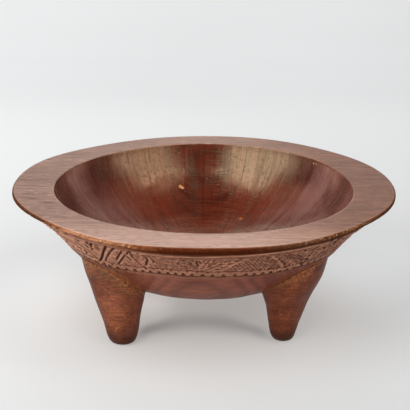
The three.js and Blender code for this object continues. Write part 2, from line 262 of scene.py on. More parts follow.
    (0.8, 0.55, [(44.04, 24.2), (44.3, 32.3)]),
    (0.8, 0.55, [(45.64, 24.2), (45.87, 32.2)]),
    (0.8, 0.55, [(47.4, 23.9), (47.61, 31.9)]),
    (0.8, 0.55, [(49.38, 23.2), (49.58, 31.1)]),
    (0.8, 0.5, [(43.52, 8.7), (43.33, 16.8)]),
    (0.8, 0.5, [(44.79, 9.9), (44.5, 18.1)]),
    (0.8, 0.5, [(46.12, 11), (45.73, 19.4)]),
    (0.8, 0.5, [(47.54, 11.9), (47.02, 20.4)]),
    (0.8, 0.5, [(49.07, 12.7), (48.41, 21.3)]),
    (0.8, 0.5, [(50.75, 13.2), (49.93, 22)]),
    (0.8, 0.5, [(52.66, 13.3), (51.62, 22.4)]),
    (0.8, 0.5, [(54.97, 12.8), (53.61, 22.3)]),
    (0.8, 0.5, [(47.35, 29.6), (45.36, 40.1)]),
    (0.8, 0.5, [(47.6, 32.7), (45.66, 43.1)]),
    (0.8, 0.5, [(47.83, 35.9), (46.83, 43.1)]),
    (0.8, 0.5, [(48.06, 39), (48.02, 43.1)]),
    (0.8, 0.5, [(48.3, 42.1), (49.85, 43.1)]),
]
# Lines at the two ends of the pattern, which join it to the next one.
STROKES += [
    (0.9, 0.6, [(52.6 + 1.7 * k, 8.0 + 0.8 * k), (51.4 + 1.7 * k, 36.0 - 1.2 * k)]) for k in range(4)
]
STROKES += [
    (0.9, 0.6, [(-59.4 + 1.8 * k, 37.0), (-56.4 + 1.8 * k, 24.0 - k)]) for k in range(4)
]
STROKES += [
    (1.3, 1.1, [(-58.0, 33.0), (-55.0, 31.0), (-52.5, 27.5)]),
    (1.4, 1.2, [(-57.6, 12.0), (-56.6, 14.0)]),
    (1.4, 1.2, [(-55.8, 17.5), (-54.6, 19.0)]),
    (1.2, 1.0, [(57.6, 34.0), (59.4, 30.0), (60.6, 24.0)]),
    (1.5, 1.2, [(58.6, 12.0), (59.8, 15.0)]),
]
# Bearings of the border's lower notches. The upper ones lie between them.
NOTCHES = [
    -57.6, -54.3, -50.9, -47.4, -43.9, -40.4, -36.9, -33.2, -29.2, -25.5, -22.3, -19.2, -16.0, -12.7, -9.9, -7.15,
    -4.1, -0.4, 3.2, 7.1, 11.3, 15.3, 18.6, 21.9, 25.2, 28.6, 32.0, 35.4, 38.9, 42.4, 45.8, 49.2, 52.6, 56.0, 59.2,
]
BORDER_FOOT = np.array([
    [-60, -3.5], [-50, -4.6], [-38, -4.6], [-31, -3.6], [-26, -1.6], [-21, 0.2], [-15, 1.4], [-6, 1.5], [0, 1.0],
    [6, 0.4], [12, -0.3], [17, -1.4], [24, -1.9], [34, -2.0], [46, -2.2], [60, -3.5],
])
RIDGE = np.array([  # height of the thin raised line under the bevel
    [-60, 36.2], [-52, 34.2], [-45, 34.4], [-38, 36.0], [-28, 37.4], [-13, 39.0], [0, 40.0], [8, 41.0], [14, 41.2], [22, 41.5],
    [32, 41.4], [46, 40.0], [60, 36.2],
])


# ---------------------------------------------------------------------------------------------------------------
# Shape helpers
# ---------------------------------------------------------------------------------------------------------------
def through(xs, ys, x):
    """A smooth curve through the points, one cubic for each stretch."""
    xs, ys, x = np.asarray(xs, float), np.asarray(ys, float), np.asarray(x, float)
    h = np.diff(xs)
    slope = np.diff(ys, axis=0) / (h if ys.ndim == 1 else h[:, None])
    tangent = np.zeros_like(ys)
    w = h[:-1] / (h[:-1] + h[1:])
    w = w if ys.ndim == 1 else w[:, None]
    tangent[1:-1] = slope[:-1] * (1 - w) + slope[1:] * w
    tangent[0], tangent[-1] = slope[0], slope[-1]
    i = np.clip(np.searchsorted(xs, x, side="right") - 1, 0, len(h) - 1)
    t = (x - xs[i]) / h[i]
    hh = h[i]
    if ys.ndim > 1:
        t, hh = t[..., None], hh[..., None]
    return (
        (2 * t**3 - 3 * t**2 + 1) * ys[i]
        + (t**3 - 2 * t**2 + t) * hh * tangent[i]
        + (3 * t**2 - 2 * t**3) * ys[i + 1]
        + (t**3 - t**2) * hh * tangent[i + 1]
    )


def waves(table, angle):
    return sum(c * np.cos(n * angle) + s * np.sin(n * angle) for n, c, s in table)


def ripple(seed, angle, along, radius, wavelength, count=40, spread=1.7):
    """A seeded random field over (angle, mm), smooth, periodic in angle, about 1 in size."""
    rng = np.random.default_rng(seed)
    out = np.zeros(np.broadcast(angle, along).shape)
    for _ in range(count):
        k = 2 * math.pi / (wavelength * spread ** rng.uniform(-1, 1))
        way = rng.uniform(0, math.pi)
        n = round(k * radius * math.cos(way))
        out += np.cos(n * angle + k * math.sin(way) * along + rng.uniform(0, 2 * math.pi))
    return out * math.sqrt(2 / count)


def step(a, b, x):
    t = np.clip((x - a) / (b - a), 0, 1)
    return t * t * (3 - 2 * t)


outside_along = np.r_[0, np.cumsum(np.hypot(*np.diff(OUTSIDE, axis=0).T))]
BAND_FOOT = float(np.interp(95.0, OUTSIDE[:, 1], outside_along))  # slant height 0 of the band
BEVEL_FOOT = float(outside_along[-1])


def outside_at(s):
    """(radius, height) of the plain outside, s mm along it from the middle of the underside."""
    mirrored_s = np.r_[-outside_along[1], outside_along]
    mirrored = np.vstack([[-OUTSIDE[1, 0], OUTSIDE[1, 1]], OUTSIDE])
    return through(mirrored_s, mirrored, s)


def wall_factor(r, angle):
    return 1 + np.minimum(1, r / FADE_RADIUS) * waves(WALL_WAVES, angle)


fine_s = np.linspace(0, BEVEL_FOOT, 1200)
fine_outside = outside_at(fine_s)


def outside_height(x, y):
    """Height of the bowl's plain outside over a place under it."""
    angle, far = np.arctan2(y, x), np.hypot(x, y)
    r = far.copy()
    for _ in range(4):
        r = far / wall_factor(r, angle)
    return np.interp(r, fine_outside[:, 0], fine_outside[:, 1])


# ---------------------------------------------------------------------------------------------------------------
# The band's relief, on a grid of COLUMNS bearings and one height for each row
# ---------------------------------------------------------------------------------------------------------------
COLUMNS, MIDDLE, COARSE = 1152, 576, 288
TURN = COLUMNS // 3  # columns of one pattern


def distance_to(points, grid_phi, grid_t):
    """Distance in mm from each grid place to the polyline."""
    scale = math.radians(1) * (151 + 0.65 * grid_t)  # mm for each degree at this height
    best = np.full(grid_t.shape, 1e9)
    for a, b in zip(points[:-1], points[1:]):
        ax, ay = (grid_phi - a[0]) * scale, grid_t - a[1]
        bx, by = (b[0] - a[0]) * math.radians(1) * (151 + 0.65 * (a[1] + b[1]) / 2), b[1] - a[1]
        u = np.clip((ax * bx + ay * by) / (bx * bx + by * by + 1e-9), 0, 1)
        best = np.minimum(best, np.hypot(ax - u * bx, ay - u * by))
    return best


def soften(field, across, along):
    """The field averaged over boxes of this many columns and rows, twice, round the pattern."""
    out = field
    for _ in range(2):
        wide = np.cumsum(np.concatenate([out[:, -across:], out, out[:, :across]], axis=1), axis=1)
        out = (wide[:, 2 * across:] - wide[:, :-2 * across]) / (2 * across)
        pad = np.concatenate([np.repeat(out[:1], along, 0), out, np.repeat(out[-1:], along, 0)])
        tall = np.cumsum(pad, axis=0)
        out = (tall[2 * along:] - tall[:-2 * along]) / (2 * along)
    return out


def carve(rows):
    """For these slant heights: relief in mm (inward is minus), depth of cuts and polish of high places, 0 to 1."""
    phi = -60 + 120 * np.arange(TURN) / TURN
    relief = np.zeros((len(rows), TURN))
    dark = np.zeros((len(rows), TURN))
    grid_phi, grid_t = np.meshgrid(phi, rows)

    def window(p0, p1, t0, t1):
        i = np.nonzero((rows >= t0) & (rows <= t1))[0]
        j = np.nonzero((phi >= p0) & (phi <= p1))[0]
        return (slice(i[0], i[-1] + 1), slice(j[0], j[-1] + 1)) if len(i) and len(j) else None

    foot = through(BORDER_FOOT[:, 0], BORDER_FOOT[:, 1], grid_phi)
    ridge = through(RIDGE[:, 0], RIDGE[:, 1], grid_phi)
    turned = np.radians(grid_phi) * 3

    # The ground between the border and the raised line is cut back a little, with the marks of the knife.
    ground = step(9.5, 11.0, grid_t - foot) * step(-1.0, -2.8, grid_t - ridge)
    relief += ground * (-0.3 + 0.16 * ripple(5, turned, grid_t, 55, 6.0, 60))
    # Two thin lines bound the border, and a small ledge runs under it.
    for offset, wide, deep in ((0.0, 1.1, 0.9), (9.6, 1.0, 0.65)):
        v = np.clip(1 - np.abs(grid_t - foot - offset) / wide, 0, 1)
        relief -= deep * v
        dark = np.maximum(dark, 0.9 * step(0.1, 0.7, v))
    relief += 0.35 * np.exp(-(((grid_t - foot + 1.5) / 0.9) ** 2))
    # The raised line under the bevel, and the hollow above it.
    relief += 0.95 * np.exp(-(((grid_t - ridge) / 0.85) ** 2))
    relief -= 0.6 * np.exp(-(((grid_t - ridge - 2.2) / 1.0) ** 2))

    for half, deep, points in STROKES:
        pts = np.array(points)
        # towards both ends of the pattern the lines are cut bolder
        bold = step(33, 42, abs(pts[:, 0].mean()))
        if deep > 0:
            half, deep = half * (1 + 0.7 * bold), min(deep * (1 + 0.6 * bold), 1.7)
        pad = half * 1.6 + 1.6
        wide = pad / 2.6
        w = window(pts[:, 0].min() - wide, pts[:, 0].max() + wide, pts[:, 1].min() - pad, pts[:, 1].max() + pad)
        if w is None:
            continue
        d = distance_to(points, grid_phi[w], grid_t[w])
        d = d + 0.10 * ripple(9, turned[w], grid_t[w], 55, 5.0, 20)
        if deep < 0:
            relief[w] += -deep * np.exp(-((d / (half * 0.9)) ** 2))
            continue
        v = np.clip(1 - d / (half * 0.78 + 0.12), 0, 1)
        relief[w] = relief[w] - deep * 1.5 * v * np.clip(1.3 + relief[w], 0.25, 1)
        relief[w] += 0.16 * np.exp(-(((d - half * 1.25 - 0.2) / 0.55) ** 2))
        dark[w] = np.maximum(dark[w], step(0.03, 0.6 - 0.35 * bold, v) * min(1.0, 0.12 + 0.72 * deep + 0.25 * bold))

    # The border's notches: two rows of triangles that leave a zigzag between them
    low = np.array(NOTCHES)
    high = (low[:-1] + low[1:]) / 2
    rng = np.random.default_rng(21)
    for centres, upright in ((low, True), (high, False)):
        for c in centres:
            size, tilt = rng.uniform(0.88, 1.14), rng.uniform(-0.5, 0.5)
            base = np.interp(c, BORDER_FOOT[:, 0], BORDER_FOOT[:, 1])
            w = window(c - 2.4, c + 2.4, base - 3, base + 13)
            if w is None:
                continue
            x = (grid_phi[w] - c) * math.radians(1) * 154
            y = grid_t[w] - base
            y = y - 0.7 if upright else 9.0 - y
            x = x - tilt * y * 0.25
            half, tall = (2.7 * size, 4.8 * size) if upright else (1.5 * size, 3.0 * size)
            side = (half * (tall - y) - tall * np.abs(x)) / math.hypot(tall, half)
            inside = np.minimum(side, y + 0.2)
            cut = np.clip(inside / 0.8, 0, 1)
            deep = (1.9 if upright else 1.4) * cut * (0.55 + 0.45 * np.clip(1 - y / tall, 0, 1))
            relief[w] = np.where(cut > 0, np.minimum(relief[w], -deep), relief[w])
            dark[w] = np.maximum(dark[w], step(0.1, 0.6, cut) * (1.0 if upright else 0.6))

    # High places are rubbed bright, low ones keep the old dark finish.
    around = soften(relief, 5, 3)
    polish = np.clip((relief - around) / 0.45, 0, 1) * (1 - dark)
    polish *= step(-0.8, 0.4, grid_t - foot) + 0.8 * step(-24, -32, grid_phi) * (grid_t < foot + 0.4)
    polish = np.clip(polish, 0, 1)
    return relief, np.clip(dark + 0.5 * np.clip((around - relief) / 0.8, 0, 1) * (1 - dark), 0, 1), polish


# ---------------------------------------------------------------------------------------------------------------
# Mesh building
# ---------------------------------------------------------------------------------------------------------------
class Net:
    """Collects points, faces, face materials, a colour attribute and a map, and makes one mesh."""

    def __init__(self):
        self.points, self.masks, self.count = [], [], 0
        self.faces, self.slots, self.uvs = [], [], []

    def add(self, points, mask=None):
        points = np.asarray(points, float).reshape(-1, 3)
        first = self.count
        self.points.append(points)
        if mask is None:
            mask = np.zeros((len(points), 4))
        self.masks.append(np.broadcast_to(mask, (len(points), 4)))
        self.count += len(points)
        return first

    def face(self, corners, slot, uv):
        """corners (n, k) point numbers, uv (n, k, 2)"""
        corners = np.asarray(corners)
        self.faces.append(corners)
        self.slots.append(np.full(len(corners), slot) if np.isscalar(slot) else np.asarray(slot))
        self.uvs.append(np.broadcast_to(uv, corners.shape + (2,)))

    def build(self, name, materials, sharp=None):
        me = bpy.data.meshes.new(name)
        points = np.vstack(self.points)
        lengths = np.concatenate([np.full(len(f), f.shape[1]) for f in self.faces])
        corners = np.concatenate([f.ravel() for f in self.faces])
        me.vertices.add(len(points))
        me.vertices.foreach_set("co", ((points + SHIFT) / 1000).astype(np.float32).ravel())
        me.loops.add(len(corners))
        me.loops.foreach_set("vertex_index", corners.astype(np.int32))
        me.polygons.add(len(lengths))
        me.polygons.foreach_set("loop_start", np.r_[0, np.cumsum(lengths)[:-1]].astype(np.int32))
        me.polygons.foreach_set("material_index", np.concatenate(self.slots).astype(np.int32))
        me.update(calc_edges=True)
        me.polygons.foreach_set("use_smooth", np.ones(len(lengths), bool))
        mask = me.color_attributes.new("mask", "FLOAT_COLOR", "POINT")
        mask.data.foreach_set("color", np.vstack(self.masks).astype(np.float32).ravel())
        uv = me.uv_layers.new(name="OFBake")
        uv.data.foreach_set("uv", np.concatenate([u.reshape(-1, 2) for u in self.uvs]).astype(np.float32).ravel())
        me.validate()
        for m in materials:
            me.materials.append(m)
        ob = bpy.data.objects.new(name, me)
        scene.collection.objects.link(ob)
        return ob


# ---------------------------------------------------------------------------------------------------------------
# Materials
# ---------------------------------------------------------------------------------------------------------------
def rgb(r, g, b):
    """8-bit screen colour to linear"""
    return tuple((c / 255 / 12.92) if c / 255 <= 0.04045 else ((c / 255 + 0.055) / 1.055) ** 2.4 for c in (r, g, b)) + (1.0,)


class Mat:
    """A short way to write node trees."""

    def __init__(self, name):
        self.m = bpy.data.materials.new(name)
        self.m.use_nodes = True
        self.t = self.m.node_tree
        self.t.nodes.clear()
        self.out = self.t.nodes.new("ShaderNodeOutputMaterial")
        self.bsdf = self.t.nodes.new("ShaderNodeBsdfPrincipled")
        self.t.links.new(self.bsdf.outputs[0], self.out.inputs[0])
        self.here = self.t.nodes.new("ShaderNodeTexCoord").outputs["Object"]

    def put(self, socket, value):
        if isinstance(value, bpy.types.NodeSocket):
            self.t.links.new(value, socket)
        else:
            socket.default_value = value

    def math(self, op, a, b=None, c=None, clamp=False):
        n = self.t.nodes.new("ShaderNodeMath")
        n.operation, n.use_clamp = op, clamp
        for i, v in enumerate((a, b, c)):
            if v is not None:
                self.put(n.inputs[i], v)
        return n.outputs[0]

    def mul(self, a, b, *more):
        out = self.math("MULTIPLY", a, b)
        for c in more:
            out = self.math("MULTIPLY", out, c)
        return out

    def add(self, a, b, *more):
        out = self.math("ADD", a, b)
        for c in more:
            out = self.math("ADD", out, c)
        return out

    def sub(self, a, b):
        return self.math("SUBTRACT", a, b)

    def vec(self, op, a, b=None):
        n = self.t.nodes.new("ShaderNodeVectorMath")
        n.operation = op
        self.put(n.inputs[0], a)
        if b is not None:
            self.put(n.inputs["Scale"] if op == "SCALE" else n.inputs[1], b)
        return n.outputs["Value"] if op in ("LENGTH", "DISTANCE", "DOT_PRODUCT") else n.outputs[0]

    def split(self, v):
        n = self.t.nodes.new("ShaderNodeSeparateXYZ")
        self.put(n.inputs[0], v)
        return n.outputs

    def join(self, x, y, z):
        n = self.t.nodes.new("ShaderNodeCombineXYZ")
        for i, v in enumerate((x, y, z)):
            self.put(n.inputs[i], v)
        return n.outputs[0]

    def noise(self, v, scale=1.0, detail=2.0, rough=0.5, distort=0.0, colour=False):
        n = self.t.nodes.new("ShaderNodeTexNoise")
        self.put(n.inputs["Vector"], v)
        n.inputs["Scale"].default_value = scale
        n.inputs["Detail"].default_value = detail
        n.inputs["Roughness"].default_value = rough
        n.inputs["Distortion"].default_value = distort
        return n.outputs["Color" if colour else "Fac"]

    def range(self, v, a, b, c=0.0, d=1.0, smooth=True):
        n = self.t.nodes.new("ShaderNodeMapRange")
        n.interpolation_type = "SMOOTHSTEP" if smooth else "LINEAR"
        self.put(n.inputs["Value"], v)
        for key, x in (("From Min", a), ("From Max", b), ("To Min", c), ("To Max", d)):
            self.put(n.inputs[key], x)
        return n.outputs["Result"]

    def mix(self, fac, a, b, mode="MIX"):
        n = self.t.nodes.new("ShaderNodeMix")
        n.data_type, n.blend_type, n.clamp_factor = "RGBA", mode, True
        self.put(n.inputs["Factor"], fac)
        self.put(n.inputs[6], a)
        self.put(n.inputs[7], b)
        return n.outputs[2]

    def mask(self):
        """The four painted fields of the mesh"""
        n = self.t.nodes.new("ShaderNodeAttribute")
        n.attribute_name = "mask"
        s = self.t.nodes.new("ShaderNodeSeparateColor")
        self.t.links.new(n.outputs["Color"], s.inputs[0])
        return s.outputs[0], s.outputs[1], s.outputs[2], n.outputs["Alpha"]

    def bump(self, height, strength, distance, before=None):
        n = self.t.nodes.new("ShaderNodeBump")
        n.inputs["Strength"].default_value = strength
        n.inputs["Distance"].default_value = distance
        self.put(n.inputs["Height"], height)
        if before is not None:
            self.put(n.inputs["Normal"], before)
        return n.outputs[0]

    def set(self, **values):
        for key, v in values.items():
            self.put(self.bsdf.inputs[key.replace("_", " ")], v)


def grain(m, axis=(0.0, 0.21), bend=0.007, ring=0.0031):
    """The tree runs along X: rings round a line at (y, z) = axis, long fibres and short dark pores along X."""
    x, y, z = m.split(m.here)
    # slow bends of the grain
    slow = m.noise(m.join(m.mul(x, 3.4), m.mul(y, 6.0), m.mul(z, 6.0)), 1.0, 2.0, 0.5, 0.0, True)
    sx, sy, sz = m.split(slow)
    y2 = m.add(y, m.mul(m.sub(sy, 0.5), bend * 3))
    z2 = m.add(z, m.mul(m.sub(sz, 0.5), bend * 2))
    far = m.vec("LENGTH", m.join(0.0, m.sub(y2, axis[0]), m.sub(z2, axis[1])))
    # rings of uneven width
    uneven = m.noise(m.join(m.mul(far, 110.0), 0.0, 0.0), 1.0, 2.0, 0.6)
    turn = m.mul(m.add(far, m.mul(uneven, ring * 1.8)), 2 * math.pi / ring)
    rings = m.add(m.mul(m.math("SINE", turn), 0.5), 0.5)
    # some rings are darker than others
    strong = m.noise(m.join(m.mul(far, 210.0), 3.0, m.mul(x, 3.0)), 1.0, 1.0, 0.5)
    rings = m.mul(m.math("POWER", rings, 1.6), m.range(strong, 0.3, 0.7, 0.35, 1.15))
    fibre = m.noise(m.join(m.mul(x, 24.0), m.mul(y2, 950.0), m.mul(z2, 950.0)), 1.0, 3.0, 0.62)
    pores = m.noise(m.join(m.mul(x, 36.0), m.mul(y2, 820.0), m.mul(z2, 820.0)), 1.0, 1.0, 0.4)
    pores = m.range(pores, 0.57, 0.69)
    cloud = m.noise(m.join(m.mul(x, 7.0), m.mul(y, 11.0), m.mul(z, 11.0)), 1.0, 3.0, 0.55)
    return rings, fibre, pores, cloud, (x, y, z)


def rim_wood():
    m = Mat("rim_worn_satin")
    dark, amber, wear_and_highlight, extra = m.mask()
    rings, fibre, pores, cloud, (x, y, z) = grain(m)
    # painted sheen: the front is made lighter and smoother where it catches the light, the two sides keep their open
    # grain
    front = m.range(m.add(y, m.mul(m.sub(cloud, 0.5), 0.06)), -0.118, -0.175)
    sides = m.range(m.math("ABSOLUTE", x), 0.06, 0.15)
    base = m.mix(m.range(cloud, 0.35, 0.65), rgb(136, 101, 86), rgb(156, 120, 103))
    base = m.mix(m.mul(front, 0.75), base, rgb(188, 151, 136))
    base = m.mix(m.mul(rings, m.add(m.mul(sides, 0.22), 0.26)), base, rgb(106, 70, 54))
    base = m.mix(m.range(fibre, 0.35, 0.75, 0.0, 0.6), base, rgb(100, 66, 53))
    # long dark streaks along the grain at the two sides, short ones in front
    streaks = m.noise(m.join(m.mul(x, 9.0), m.mul(y, 210.0), 4.0), 1.0, 3.0, 0.6)
    base = m.mix(m.mul(m.range(streaks, 0.54, 0.68), m.add(m.mul(sides, 0.48), 0.10)), base, rgb(88, 54, 42))
    short = m.noise(m.join(m.mul(x, 130.0), m.mul(y, 640.0), 9.0), 1.0, 3.0, 0.65)
    uneven = m.noise(m.join(m.mul(x, 26.0), m.mul(y, 48.0), 2.0), 1.0, 3.0, 0.6)
    some = m.range(uneven, 0.36, 0.62, 0.35, 1.3)
    base = m.mix(m.mul(m.range(short, 0.50, 0.68, 0.0, 0.48), some), base, rgb(88, 54, 42))
    base = m.mix(m.mul(m.range(short, 0.48, 0.34, 0.0, 0.34), some), base, rgb(196, 158, 140))
    open_grain = m.mul(pores, m.add(m.mul(sides, 0.5), 0.3))
    base = m.mix(m.mul(open_grain, m.sub(1.0, m.mul(front, 0.35))), base, rgb(56, 31, 25))
    base = m.mix(m.range(x, 0.02, 0.15), base, (0.76, 0.575, 0.425, 1.0), "MULTIPLY")
    # painted highlight with some real rubbing: thin light lines along the rim's corners
    base = m.mix(m.mul(wear_and_highlight, 0.55), base, rgb(188, 146, 122))
    m.set(Base_Color=base, Roughness=m.range(fibre, 0.3, 0.7, 0.42, 0.56), IOR=1.5, Specular_IOR_Level=0.5)
    h = m.sub(m.mul(fibre, 0.5), m.mul(pores, 0.9))
    m.set(Normal=m.bump(h, 0.5, 0.00025))
    return m.m


def edge_wood():
    m = Mat("rim_edge_old_varnish")
    bevel, amber, wear_and_highlight, dull = m.mask()
    rings, fibre, pores, cloud, (x, y, z) = grain(m)
    spots = m.noise(m.here, 230.0, 3.0, 0.62)
    crumbs = m.noise(m.join(m.mul(x, 300.0), m.mul(y, 300.0), m.mul(z, 520.0)), 1.0, 2.0, 0.5)
    base = m.mix(m.range(cloud, 0.35, 0.65), rgb(84, 32, 10), rgb(60, 22, 8))
    base = m.mix(dull, base, rgb(62, 35, 22))
    # painted light: the bevel and the edge are lighter at the left front and along the upper corner, as if lit there
    lit = m.mul(bevel, m.range(x, -0.112, -0.130), m.range(y, 0.0, -0.08))
    base = m.mix(m.mul(amber, m.range(spots, 0.36, 0.60), 0.9), base, rgb(140, 92, 58))
    base = m.mix(m.mul(wear_and_highlight, m.range(fibre, 0.3, 0.7, 0.5, 1.0)), base, rgb(162, 113, 86))
    base = m.mix(m.mul(lit, m.range(fibre, 0.3, 0.7, 0.95, 0.7)), base, rgb(186, 146, 126))
    # painted glints: bright crumbs in the amber varnish
    base = m.mix(m.mul(amber, m.range(crumbs, 0.58, 0.68), 0.8), base, rgb(204, 166, 130))
    base = m.mix(m.mul(amber, m.range(crumbs, 0.44, 0.32), 0.6), base, rgb(84, 46, 26))
    base = m.mix(m.mul(pores, 0.45), base, rgb(40, 16, 8))
    m.set(Base_Color=base, Roughness=m.range(spots, 0.3, 0.7, 0.4, 0.6), IOR=1.45, Specular_IOR_Level=0.0)
    m.set(Normal=m.bump(m.add(spots, m.mul(fibre, 0.4), m.mul(crumbs, 0.5)), 0.5, 0.0006))
    return m.m


def band_wood():
    m = Mat("carved_band_dry")
    dark, amber, wear_and_highlight, stain = m.mask()
    rings, fibre, pores, cloud, (x, y, z) = grain(m)
    crumbs = m.noise(m.here, 420.0, 2.0, 0.55)
    base = m.mix(m.range(cloud, 0.35, 0.65), rgb(130, 85, 66), rgb(111, 67, 51))
    base = m.mix(m.range(x, 0.01, 0.15), base, (0.58, 0.52, 0.47, 1.0), "MULTIPLY")
    # painted highlight: the band is lighter and pinker towards the left
    base = m.mix(m.mul(m.range(x, -0.06, -0.13), 0.5), base, rgb(166, 120, 98))
    base = m.mix(m.mul(rings, 0.20), base, rgb(86, 46, 32))
    base = m.mix(m.range(fibre, 0.35, 0.75, 0.0, 0.5), base, rgb(84, 46, 33))
    # painted highlight on the raised line, with real rubbing on the high places
    base = m.mix(m.mul(wear_and_highlight, 0.8), base, rgb(170, 120, 94))
    base = m.mix(m.range(x, 0.04, 0.15), base, (0.84, 0.80, 0.75, 1.0), "MULTIPLY")
    base = m.mix(m.mul(stain, 0.5), base, rgb(84, 46, 24))
    base = m.mix(m.mul(amber, m.range(crumbs, 0.36, 0.58, 0.45, 1.0)), base, rgb(128, 76, 40))
    # old dark finish in the cuts and low places, and painted shade in the hollow above the raised line
    base = m.mix(m.mul(dark, 0.93), base, rgb(46, 18, 9))
    base = m.mix(m.mul(pores, 0.4), base, rgb(50, 23, 14))
    m.set(Base_Color=base, Roughness=m.add(m.range(fibre, 0.3, 0.7, 0.46, 0.62), m.mul(dark, 0.3)), IOR=1.45, Specular_IOR_Level=0.16)
    m.set(Normal=m.bump(m.sub(m.mul(fibre, 0.6), pores), 0.5, 0.0003))
    return m.m


def under_wood():
    m = Mat("underside_oiled")
    dark, amber, wear_and_highlight, stain = m.mask()
    rings, fibre, pores, cloud, (x, y, z) = grain(m)
    crumbs = m.noise(m.here, 420.0, 2.0, 0.55)
    base = m.mix(m.range(cloud, 0.32, 0.68), rgb(132, 76, 57), rgb(108, 53, 37))
    base = m.mix(m.range(x, -0.04, -0.09), base, (0.74, 0.51, 0.33, 1.0), "MULTIPLY")
    base = m.mix(m.mul(rings, 0.6), base, rgb(68, 28, 18))
    broad = m.noise(m.join(m.mul(x, 4.0), m.mul(m.vec("LENGTH", m.join(0.0, y, m.sub(z, 0.21))), 150.0), 5.0), 1.0, 2.0, 0.6)
    base = m.mix(m.range(broad, 0.48, 0.66, 0.0, 0.55), base, rgb(80, 34, 22))
    base = m.mix(m.range(broad, 0.50, 0.32, 0.0, 0.35), base, rgb(148, 90, 72))
    base = m.mix(m.range(fibre, 0.35, 0.75, 0.0, 0.45), base, rgb(76, 37, 26))
    base = m.mix(m.mul(wear_and_highlight, 0.6), base, rgb(168, 118, 92))
    base = m.mix(m.range(x, -0.035, -0.075), base, (0.86, 0.68, 0.54, 1.0), "MULTIPLY")
    base = m.mix(m.mul(stain, 0.8), base, rgb(76, 36, 16))
    base = m.mix(m.mul(amber, m.range(crumbs, 0.34, 0.60, 0.35, 0.95)), base, rgb(126, 70, 38))
    base = m.mix(m.mul(amber, m.range(crumbs, 0.42, 0.34), 0.6), base, rgb(70, 34, 16))
    flakes = m.noise(m.here, 780.0, 2.0, 0.6)
    base = m.mix(m.mul(amber, m.range(flakes, 0.58, 0.68), 0.75), base, rgb(196, 142, 86))
    base = m.mix(m.mul(amber, m.range(flakes, 0.42, 0.34), 0.7), base, rgb(52, 24, 12))
    base = m.mix(m.mul(dark, 0.9), base, rgb(44, 19, 11))
    base = m.mix(m.mul(pores, 0.5), base, rgb(46, 21, 14))
    m.set(Base_Color=base, Roughness=m.range(fibre, 0.3, 0.7, 0.36, 0.50), IOR=1.48, Specular_IOR_Level=0.18)
    m.set(Normal=m.bump(m.sub(m.mul(fibre, 0.5), pores), 0.4, 0.00025))
    return m.m


